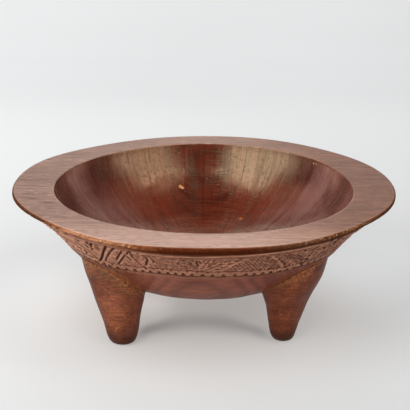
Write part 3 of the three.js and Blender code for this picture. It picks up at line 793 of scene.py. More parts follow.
def inside_wood():
    m = Mat("inside_deep_varnish")
    dim, pale, _, _ = m.mask()
    rings, fibre, pores, cloud, (gx, gy, gz) = grain(m, (0.0, 0.21), 0.007, 0.0036)
    x, y, z = m.split(m.vec("SUBTRACT", m.here, (SHIFT[0] / 1000, SHIFT[1] / 1000, 0.0)))
    out = m.vec("NORMALIZE", m.join(x, y, 0.0))
    far = m.vec("LENGTH", m.join(x, y, 0.0))
    ox, oy, _ = m.split(out)

    def meridian(k, along, detail, rough, seed):
        """Streaks that run from the rim to the middle, k of them to the radian"""
        return m.noise(m.join(m.add(m.mul(ox, k), seed), m.mul(oy, k), m.mul(z, along)), 1.0, detail, rough)

    broad = meridian(13.0, 8.0, 1.0, 0.5, 0.0)
    middling = meridian(36.0, 7.0, 1.0, 0.4, 7.0)
    fine = meridian(120.0, 14.0, 2.0, 0.6, 3.0)
    around = m.noise(m.join(m.mul(ox, 6.0), m.mul(oy, 6.0), m.mul(z, 420.0)), 1.0, 3.0, 0.65)
    blotch = m.noise(m.here, 30.0, 3.0, 0.6)
    across = m.noise(m.join(m.mul(x, 55.0), m.mul(y, 300.0), m.mul(z, 480.0)), 1.0, 2.0, 0.6)
    middle = m.range(far, 0.01, 0.115, 1.0, 0.0)
    base = m.mix(middle, rgb(96, 36, 22), rgb(136, 64, 28))
    base = m.mix(m.range(cloud, 0.35, 0.65, 0.0, 0.5), base, rgb(78, 26, 16))
    base = m.mix(m.mul(rings, 0.55), base, rgb(54, 16, 9))
    base = m.mix(m.range(fibre, 0.35, 0.75, 0.0, 0.4), base, rgb(60, 20, 13))
    calm = m.range(m.math("ABSOLUTE", x), 0.070, 0.105, 1.0, 0.35)
    base = m.mix(m.mul(m.range(broad, 0.52, 0.70), m.range(far, 0.07, 0.13), calm, 0.45), base, rgb(48, 18, 14))
    base = m.mix(m.mul(m.range(middling, 0.56, 0.72), m.range(far, 0.06, 0.13), calm, 0.35), base, rgb(46, 16, 12))
    base = m.mix(m.range(m.math("ABSOLUTE", x), 0.065, 0.135), base, (0.72, 0.60, 0.64, 1.0), "MULTIPLY")
    arcs = m.noise(m.join(m.mul(far, 330.0), m.mul(ox, 1.5), 2.0), 1.0, 3.0, 0.6)
    base = m.mix(m.mul(m.range(arcs, 0.50, 0.64), m.range(far, 0.125, 0.105), m.range(m.math("ABSOLUTE", x), 0.06, 0.03), 0.28),
                 base, rgb(146, 70, 30))
    # painted reflections on the side walls: dim places darker, pale ones lighter
    base = m.mix(m.mul(dim, 0.85), base, rgb(64, 40, 35))
    base = m.mix(m.mul(pale, m.range(fine, 0.3, 0.6, 0.8, 1.0), m.range(cloud, 0.3, 0.65, 1.0, 0.75), 0.85), base, rgb(136, 98, 90))
    low = m.mul(m.range(z, 0.066, 0.080), m.range(z, 0.120, 0.100), m.range(y, 0.05, 0.09), m.range(m.math("ABSOLUTE", x), 0.02, 0.05))
    base = m.mix(m.mul(low, 0.30), base, rgb(132, 58, 36))
    # painted reflection: a thin grey sheen on the two side walls
    side_wall_sheen = m.mul(m.range(m.math("ABSOLUTE", x), 0.055, 0.125), m.range(blotch, 0.30, 0.62, 0.3, 1.0), m.range(z, 0.062, 0.085))
    side_wall_sheen = m.mul(side_wall_sheen, m.range(y, 0.095, 0.070, 0.12, 1.0))
    base = m.mix(m.mul(side_wall_sheen, m.range(x, -0.05, 0.05, 0.36, 0.44), m.sub(1.0, dim)), base, rgb(144, 102, 94))
    base = m.mix(m.mul(pores, 0.5), base, rgb(32, 12, 8))
    for px, py, pz, size, colour in (
        (-29.8, 127.5, 96.0, 2.3, rgb(190, 130, 78)), (-27.2, 126.4, 94.6, 1.6, rgb(202, 148, 100)), (3.0, 138.6, 103.3, 0.9, rgb(176, 104, 60)),
        (-57.3, 93.1, 80.3, 0.8, rgb(214, 160, 110)), (39.5, 114.9, 88.4, 1.2, rgb(160, 80, 40)),
        (42.6, 82.7, 71.7, 2.2, rgb(158, 84, 38)), (26.1, 84.4, 69.6, 1.4, rgb(140, 70, 34)),
        (126.8, 94.5, 137.2, 0.8, rgb(186, 150, 124)), (129.4, 91.0, 137.4, 0.7, rgb(176, 138, 112)),
    ):
        near = m.vec("DISTANCE", m.vec("ADD", m.here, m.vec("SCALE", m.noise(m.here, 500.0, 2.0, 0.5, 0.0, True), 0.0012)),
                     ((px + SHIFT[0]) / 1000 + 0.0006, (py + SHIFT[1]) / 1000 + 0.0006, pz / 1000 + 0.0006))
        base = m.mix(m.range(near, size * 0.0006, size * 0.0014, 0.9, 0.0), base, colour)
    # Worn streaks and open pores are rough, so they break up what the varnish mirrors.
    rough = m.range(blotch, 0.3, 0.7, 0.14, 0.21)
    zone = m.mul(m.range(m.math("ABSOLUTE", x), 0.018, 0.034), m.range(m.math("ABSOLUTE", x), 0.118, 0.095), m.range(z, 0.085, 0.10))
    rough = m.add(rough, m.mul(m.range(broad, 0.46, 0.64), m.range(far, 0.020, 0.070), 0.08), m.mul(m.range(middling, 0.54, 0.70), zone, 0.16),
                  m.mul(m.range(fine, 0.56, 0.68), m.add(0.06, m.mul(zone, 0.28))))
    rough = m.add(rough, m.range(around, 0.55, 0.75, 0.0, 0.06), m.mul(pores, m.add(0.10, m.mul(zone, 0.12))),
                  m.mul(m.range(across, 0.62, 0.74), m.add(0.0, m.mul(zone, 0.07))))
    hatch = meridian(300.0, 26.0, 2.0, 0.6, 5.0)
    rough = m.add(rough, m.mul(m.range(hatch, 0.52, 0.66), m.add(0.02, m.mul(zone, 0.12))))
    m.set(Base_Color=base, Roughness=rough, IOR=1.8, Specular_IOR_Level=0.68,
          Specular_Tint=m.mix(m.range(x, -0.01, -0.04), rgb(250, 228, 186), rgb(252, 216, 174)))
    # the streaks stop short of the middle, where they would meet in a star
    open_part = m.range(far, 0.020, 0.070)
    h = m.mul(m.add(m.mul(fine, 0.4), m.mul(around, 0.2), m.mul(middling, 0.5)), open_part)
    first = m.bump(h, 0.35, 0.00035)
    m.set(Normal=m.bump(m.sub(m.mul(fibre, 0.4), m.add(pores, m.mul(across, 0.25))), 0.3, 0.0002, first))
    return m.m


def leg_wood():
    m = Mat("leg_satin")
    dark, amber, wear_and_highlight, stain = m.mask()
    rings, fibre, pores, cloud, (x, y, z) = grain(m, (0.0, 0.21), 0.010, 0.0029)
    crumbs = m.noise(m.here, 420.0, 2.0, 0.55)
    flecks = m.noise(m.join(m.mul(x, 150.0), m.mul(y, 150.0), m.mul(z, 1000.0)), 1.0, 2.0, 0.6)
    patchy = m.noise(m.join(m.mul(x, 40.0), m.mul(y, 40.0), m.mul(z, 26.0)), 1.0, 3.0, 0.6)
    base = m.mix(m.range(cloud, 0.35, 0.65), rgb(116, 62, 41), rgb(90, 45, 31))
    # painted highlight with some wear: lighter orange down the middle of the side that faces front or back
    base = m.mix(m.mul(wear_and_highlight, m.range(patchy, 0.30, 0.62), 0.45), base, rgb(138, 78, 50))
    mottle = m.noise(m.join(m.add(m.mul(x, 70.0), 5.0), m.mul(y, 70.0), m.mul(z, 95.0)), 1.0, 4.0, 0.62)
    base = m.mix(m.range(mottle, 0.50, 0.66, 0.0, 0.5), base, rgb(62, 27, 17))
    base = m.mix(m.range(mottle, 0.48, 0.34, 0.0, 0.28), base, rgb(146, 88, 56))
    base = m.mix(m.mul(rings, 0.30), base, rgb(64, 27, 14))
    base = m.mix(m.range(fibre, 0.35, 0.75, 0.0, 0.5), base, rgb(62, 28, 16))
    base = m.mix(m.mul(m.range(flecks, 0.58, 0.70), m.add(m.mul(wear_and_highlight, 0.3), 0.06)), base, rgb(178, 110, 70))
    specks = m.noise(m.join(m.mul(x, 420.0), m.mul(y, 420.0), m.mul(z, 520.0)), 1.0, 2.0, 0.55)
    base = m.mix(m.mul(m.range(specks, 0.60, 0.70), m.add(m.mul(wear_and_highlight, 0.55), 0.08), m.range(z, 0.055, 0.030)), base, rgb(204, 132, 72))
    base = m.mix(m.mul(stain, 0.38), base, rgb(90, 74, 46))
    # painted shade: darker from the middle of the left legs rightwards, and a little more on the right legs
    base = m.mix(m.range(x, -0.086, -0.064), base, (0.95, 0.86, 0.74, 1.0), "MULTIPLY")
    base = m.mix(m.range(x, -0.02, 0.03), base, (0.97, 0.93, 0.86, 1.0), "MULTIPLY")
    base = m.mix(m.range(z, 0.034, 0.004), base, (0.42, 0.39, 0.35, 1.0), "MULTIPLY")
    base = m.mix(m.mul(dark, 0.85), base, rgb(40, 18, 11))
    base = m.mix(m.mul(amber, m.range(crumbs, 0.36, 0.60, 0.2, 0.8)), base, rgb(134, 78, 42))
    flakes = m.noise(m.here, 780.0, 2.0, 0.6)
    base = m.mix(m.mul(amber, m.range(flakes, 0.58, 0.68), 0.7), base, rgb(196, 142, 86))
    base = m.mix(m.mul(amber, m.range(flakes, 0.42, 0.34), 0.7), base, rgb(50, 24, 12))
    base = m.mix(m.mul(pores, 0.5), base, rgb(44, 19, 11))
    m.set(Base_Color=base, Roughness=m.range(fibre, 0.3, 0.7, 0.36, 0.5), IOR=1.48, Specular_IOR_Level=0.15)
    m.set(Normal=m.bump(m.sub(m.mul(fibre, 0.6), pores), 0.45, 0.0003))
    return m.m


def bare_wood(name, light, mid):
    m = Mat(name)
    x, y, z = m.split(m.here)
    fibre = m.noise(m.join(m.mul(x, 900.0), m.mul(y, 900.0), m.mul(z, 40.0)), 1.0, 3.0, 0.6)
    cloud = m.noise(m.here, 40.0, 2.0, 0.5)
    base = m.mix(m.range(cloud, 0.35, 0.65), light, mid)
    base = m.mix(m.range(fibre, 0.4, 0.75, 0.0, 0.6), base, rgb(120, 82, 50))
    m.set(Base_Color=base, Roughness=m.range(fibre, 0.3, 0.7, 0.62, 0.8), IOR=1.45)
    m.set(Normal=m.bump(fibre, 0.4, 0.0002))
    return m.m


RIM, EDGE, BAND, UNDER, INSIDE, SOCKET = range(6)
bowl_materials = [rim_wood(), edge_wood(), band_wood(), under_wood(), inside_wood(),
                  bare_wood("socket_bare", rgb(176, 124, 84), rgb(158, 104, 68))]
leg_material = leg_wood()
tenon_material = bare_wood("tenon_bare", rgb(206, 166, 118), rgb(190, 146, 98))


# ---------------------------------------------------------------------------------------------------------------
# The bowl
# ---------------------------------------------------------------------------------------------------------------
def seam_distance(x, y, z):
    """About how far a place on the outside is from the nearest leg's seam in mm, and which leg it is."""
    best, which = np.full(np.shape(x), 1e9), np.zeros(np.shape(x), int)
    for i, (_, table, side, back, _, _) in enumerate(LEGS):
        c, deg, across, deep = np.moveaxis(through(table[:, 0], table[:, 1:], np.clip(z, 30, 96)), -1, 0)
        b = np.radians(deg)
        ox, oy = side * np.sin(b), back * np.cos(b)
        u, v = x * ox + y * oy - c, -x * oy + y * ox
        far = (np.hypot(u / deep, v / across) - 1) * (deep + across) / 2
        which = np.where(far < best, i, which)
        best = np.minimum(best, far)
    return best, which


def make_bowl():
    net = Net()
    rings = []  # (first point, columns, slant length along the whole section, slot of the faces up to the next ring)
    length = [0.0]
    last = [0.0, 0.0]

    def ring(points, slot, mask=None):
        points = np.asarray(points)
        if rings:
            gone = np.hypot(np.hypot(*points[0, :2]) - last[0], points[0, 2] - last[1])
            length[0] += float(gone)
        last[:] = [np.hypot(*points[0, :2]), points[0, 2]]
        first = net.add(points, mask)
        rings.append((first, len(points), length[0], slot))

    def angles(n):
        # column 0 is straight back, so that no seam of the map shows in front
        return np.pi / 2 + 2 * np.pi * np.arange(n) / n

    def bearing_deg(angle):
        """degrees from straight front, + to the right, wrapped to one turn"""
        return (np.degrees(angle) + 90 + 180) % 360 - 180

    def residue(points):
        """Old glue and varnish beside the seams: amber crust, then a dark stain, 0 to 1."""
        x, y, z = points.T
        far, which = seam_distance(x, y, z)
        turn = np.arctan2(y, x)
        uneven = ripple(33, turn, z, 120, 13.0, 40)
        wide = np.clip(4.2 + 2.0 * uneven, 1.2, 9) * np.where(which % 2 == 0, 2.2, 1.35)
        near = np.clip(1 - far / wide, 0, 1) * (far > -9)
        crumbs = np.clip(0.66 + 0.45 * ripple(34, turn, z, 120, 4.5, 50), 0, 1)
        crust = near * crumbs
        left = which % 2 == 0
        stain = np.exp(-((np.clip(far - 1.0, 0, None) / np.where(left, 12.0, 7.0)) ** 2)) * (far > -9) * np.where(left, 0.95, 0.7)
        return np.clip(crust * 1.25, 0, 1), np.clip(stain, 0, 1)

    band_start = BAND_FOOT - 7.0
    # underside
    s_values = [3.5, 8, 13, 19, 26, 34, 43, 53] + list(np.linspace(60, band_start - 4.4, 22)) + [band_start - 2.0]
    for s in s_values:
        n = 18 if s < 8 else 36 if s < 19 else 72 if s < 34 else 144 if s < 53 else COARSE if s < band_start - 3 else MIDDLE
        a = angles(n)
        r, z = outside_at(s)
        f = wall_factor(r, a)
        low = 0.13 * ripple(31, a, s, r, 34.0, 24) * min(1, s / 30)
        points = np.stack([r * f * np.cos(a), r * f * np.sin(a), z + low], -1)
        crust, stain = residue(points)
        ring(points, UNDER, np.stack([0 * crust, crust, 0 * crust, stain], -1))
    under_rings = len(rings)

    # band
    rows = np.linspace(-7.0, BEVEL_FOOT - BAND_FOOT, 51)
    relief, dark, polish = carve(rows)
    a = angles(COLUMNS)
    phi = bearing_deg(a)
    local = (phi + 60) % 120 - 60
    column = np.round((local + 60) / 120 * TURN).astype(int) % TURN
    for i, t in enumerate(rows):
        s = BAND_FOOT + t
        r, z = outside_at(s)
        ahead = outside_at(min(s + 0.5, BEVEL_FOOT)) - outside_at(s - 0.5)
        ahead /= np.hypot(*ahead)
        normal = np.array([ahead[1], -ahead[0]])
        f = wall_factor(r, a)
        d = relief[i][column] + 0.13 * ripple(31, a, s, r, 34.0, 24)
        d = d * step(-7.5, -5.5, t)
        # The old edge of the bevel is uneven.
        rr, zz = r * f + d * normal[0], z + d * normal[1]
        ridge = through(RIDGE[:, 0], RIDGE[:, 1], local)
        foot = through(BORDER_FOOT[:, 0], BORDER_FOOT[:, 1], local)
        points = np.stack([rr * np.cos(a), rr * np.sin(a), zz], -1)
        crust, stain = residue(points)
        amber = crust * step(14, 4, t - foot)
        for c, h, wide, tall in ((-35.6, 32.0, 1.5, 4.5), (30.0, 33.0, 1.6, 3.6), (-41.0, 20.0, 2.0, 3.0)):
            amber = amber + np.exp(-(((local - c) / wide) ** 2) - ((t - h) / tall) ** 2)
        # painted highlight along the raised line under the bevel, weaker in each pattern's right part and wider on the
        # left
        light = (0.9 - 0.5 * step(4, 24, local)) * np.exp(-(((t - ridge) / (0.72 + 1.3 * step(-34, -46, phi))) ** 2))
        # the plain strip under the border belongs to the underside
        slot = BAND if t > -4.6 else UNDER
        # painted shade: the hollow above the raised line is darkened from the front round to the right
        hollow = 0.8 * step(0.7, 1.7, t - ridge) * step(-24, -10, phi) * step(100, 60, phi)
        ring(points, slot, np.stack([
            np.maximum(dark[i][column] * step(-7, -5, t), hollow), np.clip(amber, 0, 1), np.clip(np.maximum(light, 0.9 * polish[i][column]), 0, 1),
            stain * step(14, 2, t - foot),
        ], -1))
    # bevel and edge of the rim
    outer = waves(RIM_WAVES, a)
    edge_rows = [(180.0, 128.2, 0.62), (182.5, 129.4, 0.66), (186.5, 131.4, 0.74), (190.5, 133.4, 0.82), (194.5, 135.4, 0.9),
                 (197.6, 136.95, 0.96), (198.7, 137.5, 1), (199.5, 138.1, 1), (199.9, 138.8, 1), (200, 139.6, 1),
                 (200, 140.4, 1), (199.85, 141.1, 1), (199.45, 141.6, 1), (198.8, 141.9, 1), (197.9, 142, 1)]
    deep_chips = np.clip(ripple(52, a, 0.0, 200, 11.0, 60) - 1.15, 0, 2)
    # The left front is thin and chipped, the right front a little, and the rest is whole.
    thin = step(-12, -30, phi) * step(-150, -110, phi)
    chipped_left = step(-10, -22, phi) * step(-68, -56, phi)
    chipped_right = np.exp(-(((phi - 40) / 12) ** 2))
    rubbed = step(-22, -31, phi) * step(-84, -62, phi)
    rough_place = 0.15 + 0.85 * chipped_left + 0.35 * chipped_right + 0.2 * (np.abs(phi) > 100)
    for k, (r, z, share) in enumerate(edge_rows):
        f = 1 + share * outer
        lift = (1 - 0.27 * thin) if z > 133 else 1 - 0.27 * thin * (z - 128.2) / 4.8
        high = 142 - (142 - z) * lift
        rock = ripple(60, a, z * 3.0, 200, 7.0, 50)
        nick = rough_place * (0.24 * rock + 0.55 * deep_chips)
        nick = nick * (0.2 + 0.8 * step(130, 137, z)) * (1 - 0.75 * step(141.3, 142, z))
        rr = r * f - np.abs(nick) * 0.9
        zz = high + (0.4 * nick if 130 < z < 139 else 0)
        # the corner is rubbed round on the left front
        rr = rr - rubbed * (0.2 if z < 140 else 0.6 if z < 141 else 1.3 if z < 141.5 else 1.7)
        zz = zz - rubbed * (0.0 if z < 140 else 0.5 if z < 141 else 0.9 if z < 141.5 else 0.75 if z < 141.8 else 0.4 if z < 141.95 else 0.0)
        rr, zz = rr * 0.9997, np.minimum(zz, 142.0)
        spots = 0.5 + 0.5 * ripple(61, a, z * 1.5, 200, 8.0, 50)
        amber = (1.15 * chipped_left * step(-52, -43, phi) * step(132.5, 136.5, z) * step(141.9, 140.2, z) * np.clip(0.55 + 0.6 * spots, 0, 1)
                 + 0.5 * chipped_right * step(138.5, 141, z) + 0.06)
        # painted light: the edge is a lighter tan at the left front, where the lamp falls
        tan = step(-15, -33, phi) * step(-54, -45, phi) * np.clip(0.75 + 0.35 * spots, 0, 1)
        tan = tan * (1 - 0.85 * step(-38, -46, phi))
        # painted highlight with some real rubbing: a light line along the upper corner, stronger at the left front and
        # in front
        wear_and_highlight = np.maximum(step(140.9, 141.8, z) * (0.1 + 0.6 * chipped_left * step(-54, -44, phi) + 0.25 * (np.abs(phi) < 30)), np.clip(tan, 0, 1))
        ring(np.stack([rr * np.cos(a), rr * np.sin(a), zz], -1), EDGE if z < 141.85 else RIM,
             np.stack([np.full(COLUMNS, step(137.2, 136.0, z)), np.clip(amber, 0, 1), np.clip(wear_and_highlight, 0, 1), np.clip(step(12, 26, phi) + 0.85 * step(-44, -52, phi), 0, 1)], -1))
    # rim's flat top, then its inner edge and the inside, on fewer columns
    a = angles(MIDDLE)
    ring(np.stack([(195.7 * (1 + waves(RIM_WAVES, a))) * np.cos(a), (195.7 * (1 + waves(RIM_WAVES, a))) * np.sin(a), np.full(MIDDLE, 142.0)], -1), RIM)
    a = angles(COARSE)
    outer, mouth = waves(RIM_WAVES, a), waves(MOUTH_WAVES, a)
    for u in (0.09, 0.18, 0.3, 0.45, 0.6, 0.75, 0.88, 0.97):
        r = (198.2 * (1 + outer)) * (1 - u) + (160.3 * (1 + mouth)) * u
        z = 142.0 - 0.10 * (1 + ripple(71, a, u * 40, 180, 60.0, 20)) * math.sin(math.pi * u)
        ring(np.stack([r * np.cos(a), r * np.sin(a), np.minimum(z, 142.0)], -1), RIM)
    for r, z in ((159.9, 142.0), (159.35, 141.87), (158.95, 141.55), (158.75, 141.1)):
        rr = r * (1 + mouth)
        # painted highlight with some real rubbing: a light line along the inner corner, stronger in front
        wear_and_highlight = np.clip(0.65 + 0.5 * ripple(72, a, 0.0, 160, 30.0, 20), 0, 1) * (z > 141.5) * (0.12 + 0.5 * step(0.1, -0.5, np.sin(a)))
        ring(np.stack([rr * np.cos(a), rr * np.sin(a), np.full(COARSE, z)], -1), RIM if z > 141.2 else INSIDE,
             np.stack([0 * wear_and_highlight, 0 * wear_and_highlight, wear_and_highlight, 0 * wear_and_highlight], -1))
    count = 34
    for i in range(1, count):
        d = math.sin(math.pi / 2 * i / count) ** 1.1
        if d * INSIDE_DEPTH < 1.6:
            continue
        r = MOUTH_RADIUS * math.sqrt(max(0.0, 1 - d**INSIDE_FULLNESS))
        n = COARSE if r > 60 else 144 if r > 26 else 72 if r > 12 else 36 if r > 5 else 18
        a = angles(n)
        f = 1 + min(1, r / MOUTH_RADIUS) * waves(MOUTH_WAVES, a)
        z = RIM_HEIGHT - INSIDE_DEPTH * d
        z = z + 0.10 * ripple(81, a, r, max(r, 1), 45.0, 20) * min(1, r / 40) * min(1, (142 - z) / 12)
        # painted reflections on the side walls: dark places and pale ones that run down from the rim
        local = bearing_deg(a) + 1.5 * ripple(82, a, z, 150, 30.0, 24)
        streaks = ripple(83, a, 0.0, 150, 5.0, 60)
        dim, pale = np.zeros(n), np.zeros(n)
        for at, wide, low, high, amount in (
            (-92, 7.5, 96, 104, 0.75), (-123, 8.0, 92, 102, 0.7), (-98, 3.0, 118, 126, 0.4), (99, 6.5, 98, 108, 0.8),
            (131, 5.0, 100, 112, 0.4), (-134, 3.5, 118, 126, 0.45),
        ):
            dim = np.maximum(dim, amount * np.exp(-(((local - at) / wide) ** 2)) * step(low, high, z))
        for at, wide, low, high, amount in (
            (-107.5, 5.0, 70, 84, 0.95), (-122, 14.0, 100, 86, 0.65), (117, 9.0, 76, 92, 1.0), (125, 16.0, 98, 84, 0.7),
            (-150, 16.0, 76, 66, 0.4), (151, 18.0, 78, 66, 0.45), (-97, 4.0, 128, 138, 0.3),
        ):
            pale = np.maximum(pale, amount * np.exp(-(((local - at) / wide) ** 2)) * step(low, high, z))
        dim, pale = dim * np.clip(0.8 + 0.35 * streaks, 0, 1.1), pale * np.clip(0.75 + 0.35 * streaks, 0, 1.1) * step(35, 80, r)
        ring(np.stack([r * f * np.cos(a), r * f * np.sin(a), z], -1), INSIDE,
             np.stack([np.clip(dim, 0, 1), np.clip(pale, 0, 1), np.zeros(n), np.zeros(n)], -1))

    # faces
    # The map: the band and the rim's edge are four strips, the two faces of the bowl are discs.
    strip_from, strip_to = rings[under_rings][2], rings[under_rings + len(rows) + len(edge_rows) - 1][2]
    total = rings[-1][2]

    def uv_of(kind, turn, s):
        """turn 0..1 round from straight back, s the slant length"""
        if kind == "under":
            radius = 0.195 * s / strip_from
            ang = 2 * np.pi * turn
            return np.stack([0.205 + radius * np.cos(ang), 0.205 + radius * np.sin(ang)], -1)
        if kind == "top":
            radius = 0.292 * (total + 6 - s) / (total + 6 - strip_to)
            ang = 2 * np.pi * turn
            return np.stack([0.70 + radius * np.cos(ang), 0.305 + radius * np.sin(ang)], -1)

    def strip_uv(turn, s, quarter):
        u = 0.006 + (turn * 4 - quarter) * 0.988
        v = 0.612 + quarter * 0.0965 + (s - strip_from) / (strip_to - strip_from) * 0.0895
        return np.stack([u, v], -1)

    strip_rings = range(under_rings, under_rings + len(rows) + len(edge_rows) - 1)
    skip = {}  # coarse cells left out for the sockets: ring number -> set of columns

    # Sockets: the cells under each tenon are replaced by a patch with a round hole.
    patches = []
    for name, table, side, back, degrees, seed in LEGS:
        b = math.radians(degrees)
        cx, cy = TENON_CENTRE * side * math.sin(b), TENON_CENTRE * back * math.cos(b)
        ang = math.atan2(cy, cx)
        r0 = TENON_CENTRE
        # rings whose radius is within 11 mm
        inside_rings = []
        for i in range(under_rings - 1):
            first, n, s, slot = rings[i]
            if n != COARSE:
                continue
            r, z = outside_at(s_values[i])
            f = float(wall_factor(r, np.array([ang]))[0])
            if abs(r * f - r0) < 12.5:
                inside_rings.append(i)
        i0, i1 = min(inside_rings), max(inside_rings)
        j_mid = (ang - math.pi / 2) / (2 * math.pi) * COARSE
        wide = 12.5 / r0 / (2 * math.pi) * COARSE
        j0, j1 = int(math.floor(j_mid - wide)), int(math.ceil(j_mid + wide))
        patches.append((i0, i1, j0, j1, cx, cy))
        for i in range(i0, i1):
            skip.setdefault(i, set()).update(j % COARSE for j in range(j0, j1))

    for i in range(len(rings) - 1):
        f0, n0, s0, slot = rings[i]
        f1, n1, s1, _ = rings[i + 1]
        strip = i in strip_rings
        kind = "under" if i < under_rings else "top"
        if n0 == n1:
            j = np.arange(n0)
            k = (j + 1) % n0
            corners = np.stack([f0 + j, f0 + k, f1 + k, f1 + j], -1)
            turn = np.stack([j, j + 1, j + 1, j], -1) / n0
            s = np.broadcast_to([s0, s0, s1, s1], turn.shape)
            if i in skip:
                keep = np.array([c not in skip[i] for c in j])
                corners, turn, s = corners[keep], turn[keep], s[keep]
            if strip:
                quarter = np.floor(turn.mean(-1) * 4)[:, None]
                uv = strip_uv(turn, s, quarter)
            else:
                uv = uv_of(kind, turn, s)
            net.face(corners, slot, uv)
        else:
            # from fewer to twice as many columns, or back
            up = n1 > n0
            fine0, coarse0 = (f1, f0) if up else (f0, f1)
            nf, nc = max(n0, n1), min(n0, n1)
            if nf != 2 * nc:
                raise SystemExit("rings of these sizes can't be joined")
            sf, sc = (s1, s0) if up else (s0, s1)
            j = np.arange(nc)
            k = (j + 1) % nc
            fine = lambda q: fine0 + (2 * j + q) % nf
            groups = [
                ([coarse0 + j, fine(1), fine(0)], [j, j + 0.5, j], [sc, sf, sf]),
                ([coarse0 + j, coarse0 + k, fine(1)], [j, j + 1, j + 0.5], [sc, sc, sf]),
                ([coarse0 + k, fine(2), fine(1)], [j + 1, j + 1, j + 0.5], [sc, sf, sf]),
            ]
            for corner_list, turns, ss in groups:
                corners = np.stack(corner_list, -1)
                turn = np.stack(turns, -1) / nc
                s = np.broadcast_to(ss, turn.shape)
                if not up:
                    corners, turn, s = corners[:, ::-1], turn[:, ::-1], s[:, ::-1]
                net.face(corners, slot, uv_of(kind, turn, s))
    # poles
    f0, n0, s0, _ = rings[0]
    j = np.arange(n0)
    centre = net.add([[0, 0, OUTSIDE[0, 1]]])
    turn = np.stack([j, j + 0.5, j + 1], -1) / n0
    net.face(np.stack([f0 + j, np.full(n0, centre), f0 + (j + 1) % n0], -1), UNDER,
             uv_of("under", turn, np.broadcast_to([s0, 0, s0], turn.shape)))
    f0, n0, s0, _ = rings[-1]
    j = np.arange(n0)
    centre = net.add([[0, 0, RIM_HEIGHT - INSIDE_DEPTH]])
    net.face(np.stack([f0 + j, f0 + (j + 1) % n0, np.full(n0, centre)], -1), INSIDE,
             uv_of("top", np.stack([j, j + 1, j + 0.5], -1) / n0, np.broadcast_to([s0, s0, total + 6], (n0, 3))))

    # socket patches
    points = np.vstack(net.points)
    spare = 0
    for i0, i1, j0, j1, cx, cy in patches:
        # the rim of the hole in the cells, once round, seen from below so that faces point out
        edge = []
        for j in range(j0, j1):
            edge.append(rings[i0][0] + j % COARSE)
        for i in range(i0, i1):
            edge.append(rings[i][0] + j1 % COARSE)
        for j in range(j1, j0, -1):
            edge.append(rings[i1][0] + j % COARSE)
        for i in range(i1, i0, -1):
            edge.append(rings[i][0] + j0 % COARSE)
        edge = np.array(edge)
        n = len(edge)
        at = points[edge]
        way = np.unwrap(np.arctan2(at[:, 1] - cy, at[:, 0] - cx))
        radius = TENON_RADIUS + TENON_CLEARANCE
        hole = np.stack([cx + radius * np.cos(way), cy + radius * np.sin(way)], -1)
        loops = [edge]
        for w in (0.35, 0.7):
            mid = at[:, :2] * (1 - w) + hole * w
            z = outside_height(mid[:, 0], mid[:, 1])
            first = net.add(np.column_stack([mid, z]))
            loops.append(first + np.arange(n))
        top = TENON_MOUTH + TENON_IN_BOWL
        for z in (None, 0.33, 0.66, 1.0):
            zz = outside_height(hole[:, 0], hole[:, 1])
            if z is not None:
                zz = zz * (1 - z) + top * z
            first = net.add(np.column_stack([hole, zz]))
            loops.append(first + np.arange(n))
        end = net.add([[cx, cy, top]])
        k = (np.arange(n) + 1) % n
        spot = np.array([0.03 + 0.05 * spare, 0.45])
        spare += 1
        for q, (l0, l1) in enumerate(zip(loops[:-1], loops[1:])):
            ang0 = 2 * np.pi * np.arange(n) / n
            ang1 = 2 * np.pi * (np.arange(n) + 1) / n
            ra, rb = 0.022 * (1 - q / 7), 0.022 * (1 - (q + 1) / 7)
            uv = np.stack([
                np.stack([ra * np.cos(ang0), ra * np.sin(ang0)], -1), np.stack([ra * np.cos(ang1), ra * np.sin(ang1)], -1),
                np.stack([rb * np.cos(ang1), rb * np.sin(ang1)], -1), np.stack([rb * np.cos(ang0), rb * np.sin(ang0)], -1),
            ], 1) + spot
            net.face(np.stack([l0, l0[k], l1[k], l1], -1), UNDER if q < 3 else SOCKET, uv)
        last_loop = loops[-1]
        ang0 = 2 * np.pi * np.arange(n) / n
        ang1 = 2 * np.pi * (np.arange(n) + 1) / n
        rb = 0.022 / 7
        uv = np.stack([np.stack([rb * np.cos(ang0), rb * np.sin(ang0)], -1), np.stack([rb * np.cos(ang1), rb * np.sin(ang1)], -1),
                       np.zeros((n, 2))], 1) + spot
        net.face(np.stack([last_loop, last_loop[k], np.full(n, end)], -1), SOCKET, uv)
    return net.build("bowl", bowl_materials)


# ---------------------------------------------------------------------------------------------------------------
# The legs
# ---------------------------------------------------------------------------------------------------------------
LEG_COLUMNS = 120


